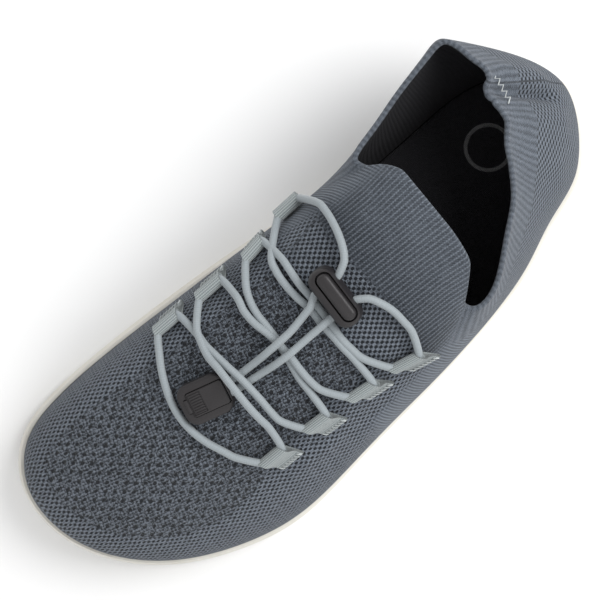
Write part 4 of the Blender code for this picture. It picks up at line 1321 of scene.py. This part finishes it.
def make_lock(knit, look):
    """The cord lock: its shell, with a groove and two cord holes, and the plunger's ridge."""
    frame = seat_on_knit(knit, LOCK_PLACE, LOCK_TURN, LOCK_SEAT_LENGTH, LOCK_SEAT_WIDTH)
    shell = block("lock_body", look, frame, LOCK_LENGTH, LOCK_WIDTH, LOCK_CORNER, 0.0, LOCK_HEIGHT)
    rounded(shell, LOCK_ROUNDING, 6)
    floor = LOCK_HEIGHT - LOCK_SLOT_DEPTH
    beside = frame @ Matrix.Translation((0.0, RIDGE_SHIFT, 0.0))
    cutters = [block("slot", look, beside, RIDGE_LENGTH + 2 * RIDGE_GAP,
                     RIDGE_WIDTH + 2 * RIDGE_GAP, RIDGE_WIDTH / 2 + RIDGE_GAP / 2, floor,
                     2 * LOCK_HEIGHT)]
    for x in LOCK_HOLES:
        hole = bmesh.new()
        place = Matrix.Translation((x, 0.0, LOCK_HOLE_LEVEL)) @ Matrix.Rotation(math.pi / 2, 4, "X")
        bmesh.ops.create_cone(hole, cap_ends=True, segments=LOCK_HOLE_SIDES, radius1=LOCK_HOLE / 2,
                              radius2=LOCK_HOLE / 2, depth=2 * LOCK_WIDTH, matrix=place)
        cutters.append(from_bmesh("hole", hole, look, frame))
    cut(shell, *cutters)
    smooth_faces(shell.data)
    shows(shell, "black_plastic", "lock_shell")
    plunger = block("lock_ridge", look, beside, RIDGE_LENGTH, RIDGE_WIDTH,
                    RIDGE_WIDTH / 2 - RIDGE_FLAT, floor + CLEARANCE, LOCK_HEIGHT + RIDGE_PROUD)
    shows(rounded(plunger, RIDGE_ROUNDING * RIDGE_WIDTH, 5), "black_plastic", "lock_plunger")
    inlets = [inlet(frame, x, side * LOCK_WIDTH / 2, LOCK_HOLE_LEVEL, x, side * LOCK_WIDTH / 5)
              for x in LOCK_HOLES for side in (-1, 1)]
    return [shell, plunger], inlets


def make_clip(knit, look):
    """The clip that ends the lace: a soft case, and a lid with a ribbed grip and a tab."""
    frame = seat_on_knit(knit, CLIP_PLACE, CLIP_TURN, CLIP_LENGTH, CLIP_WIDTH)
    case = block("clip_body", look, frame, CLIP_LENGTH, CLIP_WIDTH, CLIP_CORNER, 0.0, CLIP_HEIGHT)
    rounded(case, CLIP_ROUNDING, 5)
    back = frame @ Matrix.Translation((-LID_BACK, 0.0, 0.0))
    toe = back @ Matrix.Translation(((LID_RUN + LID_TAB_LENGTH) / 2 - LID_GAP, 0.0, 0.0))
    floor = CLIP_HEIGHT - LID_DEPTH
    high = 2 * CLIP_HEIGHT
    seat = block("seat", look, back, LID_RUN, LID_WIDTH, LID_CORNER, floor, high)
    notch = block("notch", look, toe, LID_TAB_LENGTH + LID_GAP, LID_TAB_WIDTH + 2 * LID_GAP,
                  LID_TAB_CORNER, floor, high, 2)
    cut(case, seat, notch)
    smooth_faces(case.data)
    shows(case, "black_plastic", "clip_case")
    top = CLIP_HEIGHT + LID_PROUD
    low = floor + CLEARANCE
    lid = block("clip_plate", look, back, LID_RUN - 2 * LID_GAP, LID_WIDTH - 2 * LID_GAP,
                LID_CORNER, low, top)
    rounded(lid, LID_ROUNDING, 3)
    grip_place = back @ Matrix.Translation((GRIP_PLACE, 0.0, 0.0))
    cut(lid, block("pocket", look, grip_place, GRIP_LENGTH + 4 * LID_GAP, GRIP_RIBS * GRIP_PITCH,
                   GRIP_CORNER, top - GRIP_DEPTH, high, 2))
    smooth_faces(lid.data)
    shows(lid, "black_plastic", "clip_lid")
    tab = block("clip_lid_tab", look, toe, LID_TAB_LENGTH, LID_TAB_WIDTH, LID_TAB_CORNER, low,
                top - LID_TAB_CORNER, 2)
    shows(rounded(tab, LID_TAB_CORNER, 2), "black_plastic")
    grip = bmesh.new()
    for index in range(GRIP_RIBS):
        y = (index - (GRIP_RIBS - 1) / 2) * GRIP_PITCH
        slab(grip, (GRIP_PLACE, y, top - GRIP_DEPTH), GRIP_LENGTH, GRIP_PITCH / 2, 2 * GRIP_DEPTH)
    ribs = rounded(from_bmesh("clip_grip", grip, look, back), GRIP_ROUNDING, 2)
    shows(ribs, "black_plastic")
    inlets = [inlet(frame, -CLIP_LENGTH / 2, y, CLIP_HOLE_LEVEL, -CLIP_LENGTH / 4, y)
              for y in CLIP_HOLES]
    return [case, lid, tab, ribs], inlets


def make_tabs_and_lace(knit, webbing, elastic, thread):
    """The webbing tabs, their stitches and the lace's crossing stretches over the knit."""
    eyes = []
    stitches = []
    for tab in itertools.starmap(Tab, TABS):
        frame, width = tab_frame(tab, knit)
        make_tab(tab, frame, width, webbing)
        eyes += [(frame @ Vector((0.0, TAB_RING, side * EYE_MOUTH)),
                  frame @ Vector((0.0, TAB_RING, side * EYE_INSIDE))) for side in (-1, 1)]
        zigzag = []
        for turn in range(STITCH_TURNS + 1):
            side = STITCH_SPREAD * (turn / STITCH_TURNS - 0.5)
            place = TAB_LENGTH - TAB_RING - (STITCH_NEAR if turn % 2 else STITCH_FAR)
            zigzag.append(frame @ Vector((place, TAB_NECK + 0.4 * STITCH_WIDTH, side)))
        stitches.append(zigzag)
    add_threads("tab_stitches", stitches, thread)
    add_threads("heel_stitches", [heel_stitches(knit)], thread)
    for name, strands in CROSSINGS.items():
        for number, route in enumerate(strands):
            add_lace(f"{name}_{number}", lace_route(knit, route, eyes), elastic, name)
    return eyes


def heel_stitches(knit):
    """The overlock zigzag beside the collar's edge at the back seam."""
    line = []
    for turn in range(HEEL_TURNS + 1):
        place = Vector(HEEL_START).lerp(Vector(HEEL_END), turn / HEEL_TURNS)
        place.x += HEEL_SWING * (1 if turn % 2 else -1)
        point, normal = knit.below(place)
        line.append(point + normal * STITCH_WIDTH)
    return line


def add_threads(name, lines, look):
    """Several fine threads as one piece."""
    points = []
    faces = []
    for line in lines:
        more, quads, _ = tube(line, STITCH_WIDTH / 2, THREAD_SIDES)
        faces += [tuple(len(points) + index for index in quad) for quad in quads]
        points += more
    shows(add_mesh(name, points, faces, look), "grey_webbing")


def make_cords(knit, eyes, inlets, elastic):
    """The four free stretches of the lace: two into the lock, two on from
    it into the clip."""
    for name, route in CORDS.items():
        path = lead_on(lace_route(knit, route, eyes), inlets, INLET_REACH, INLET_SPACE, False)
        made = add_lace(name + "_cord", path, elastic, name)


def stage_and_light():
    """The white floor, the soft daylight and the photo's camera."""
    bpy.ops.mesh.primitive_plane_add(size=FLOOR_SPAN)
    floor = bpy.context.object
    floor.name = "floor"
    look = Look("floor_looks")
    floor.data.materials.append(look.finish(FLOOR_WHITE, 0.9))
    world = bpy.data.worlds.new("daylight")
    bpy.context.scene.world = world
    world.use_nodes = True
    sky = world.node_tree.nodes["Background"].inputs
    sky["Color"].default_value = (1.0, 1.0, 1.0, 1.0)
    sky["Strength"].default_value = SKY_STRENGTH
    for name, place, size, power in LIGHTS:
        data = bpy.data.lights.new(name, "AREA")
        data.shape = "DISK"
        data.size = size
        data.energy = power
        lamp = add_object(name, data)
        lamp.location = place
        aim = Vector(LIGHT_AIM) - Vector(place)
        lamp.rotation_euler = aim.to_track_quat("-Z", "Y").to_euler()
    data = bpy.data.cameras.new("photo_camera")
    data.sensor_width = SENSOR
    data.lens = SENSOR * CAMERA_PLACE[2] / (PHOTO_SPAN * FRAME_SPAN / PHOTO_PIXELS)
    data.shift_x = (FRAME_CENTRE[0] - PHOTO_PIXELS / 2) / FRAME_SPAN
    data.shift_y = (PHOTO_PIXELS / 2 - FRAME_CENTRE[1]) / FRAME_SPAN
    axes = Matrix((CAMERA_RIGHT, CAMERA_UP, (0.0, 0.0, 1.0))).transposed().to_4x4()
    frame = Matrix.Translation(CAMERA_PLACE) @ axes
    bpy.context.scene.camera = add_object("photo_camera", data, frame)
    bpy.context.scene.view_settings.view_transform = "Standard"


def main():
    knit = Knit()
    elastic = elastic_look()
    plastic = plastic_look()
    make_sole(rubber_look())
    make_insole(insole_look())
    make_knit(knit, knit_look(), lining_look())
    eyes = make_tabs_and_lace(knit, webbing_look(), elastic, thread_look())
    lock, holes_in_lock = make_lock(knit, plastic)
    clip, holes_in_clip = make_clip(knit, plastic)
    make_cords(knit, eyes, holes_in_lock + holes_in_clip, elastic)
    stage_and_light()


main()
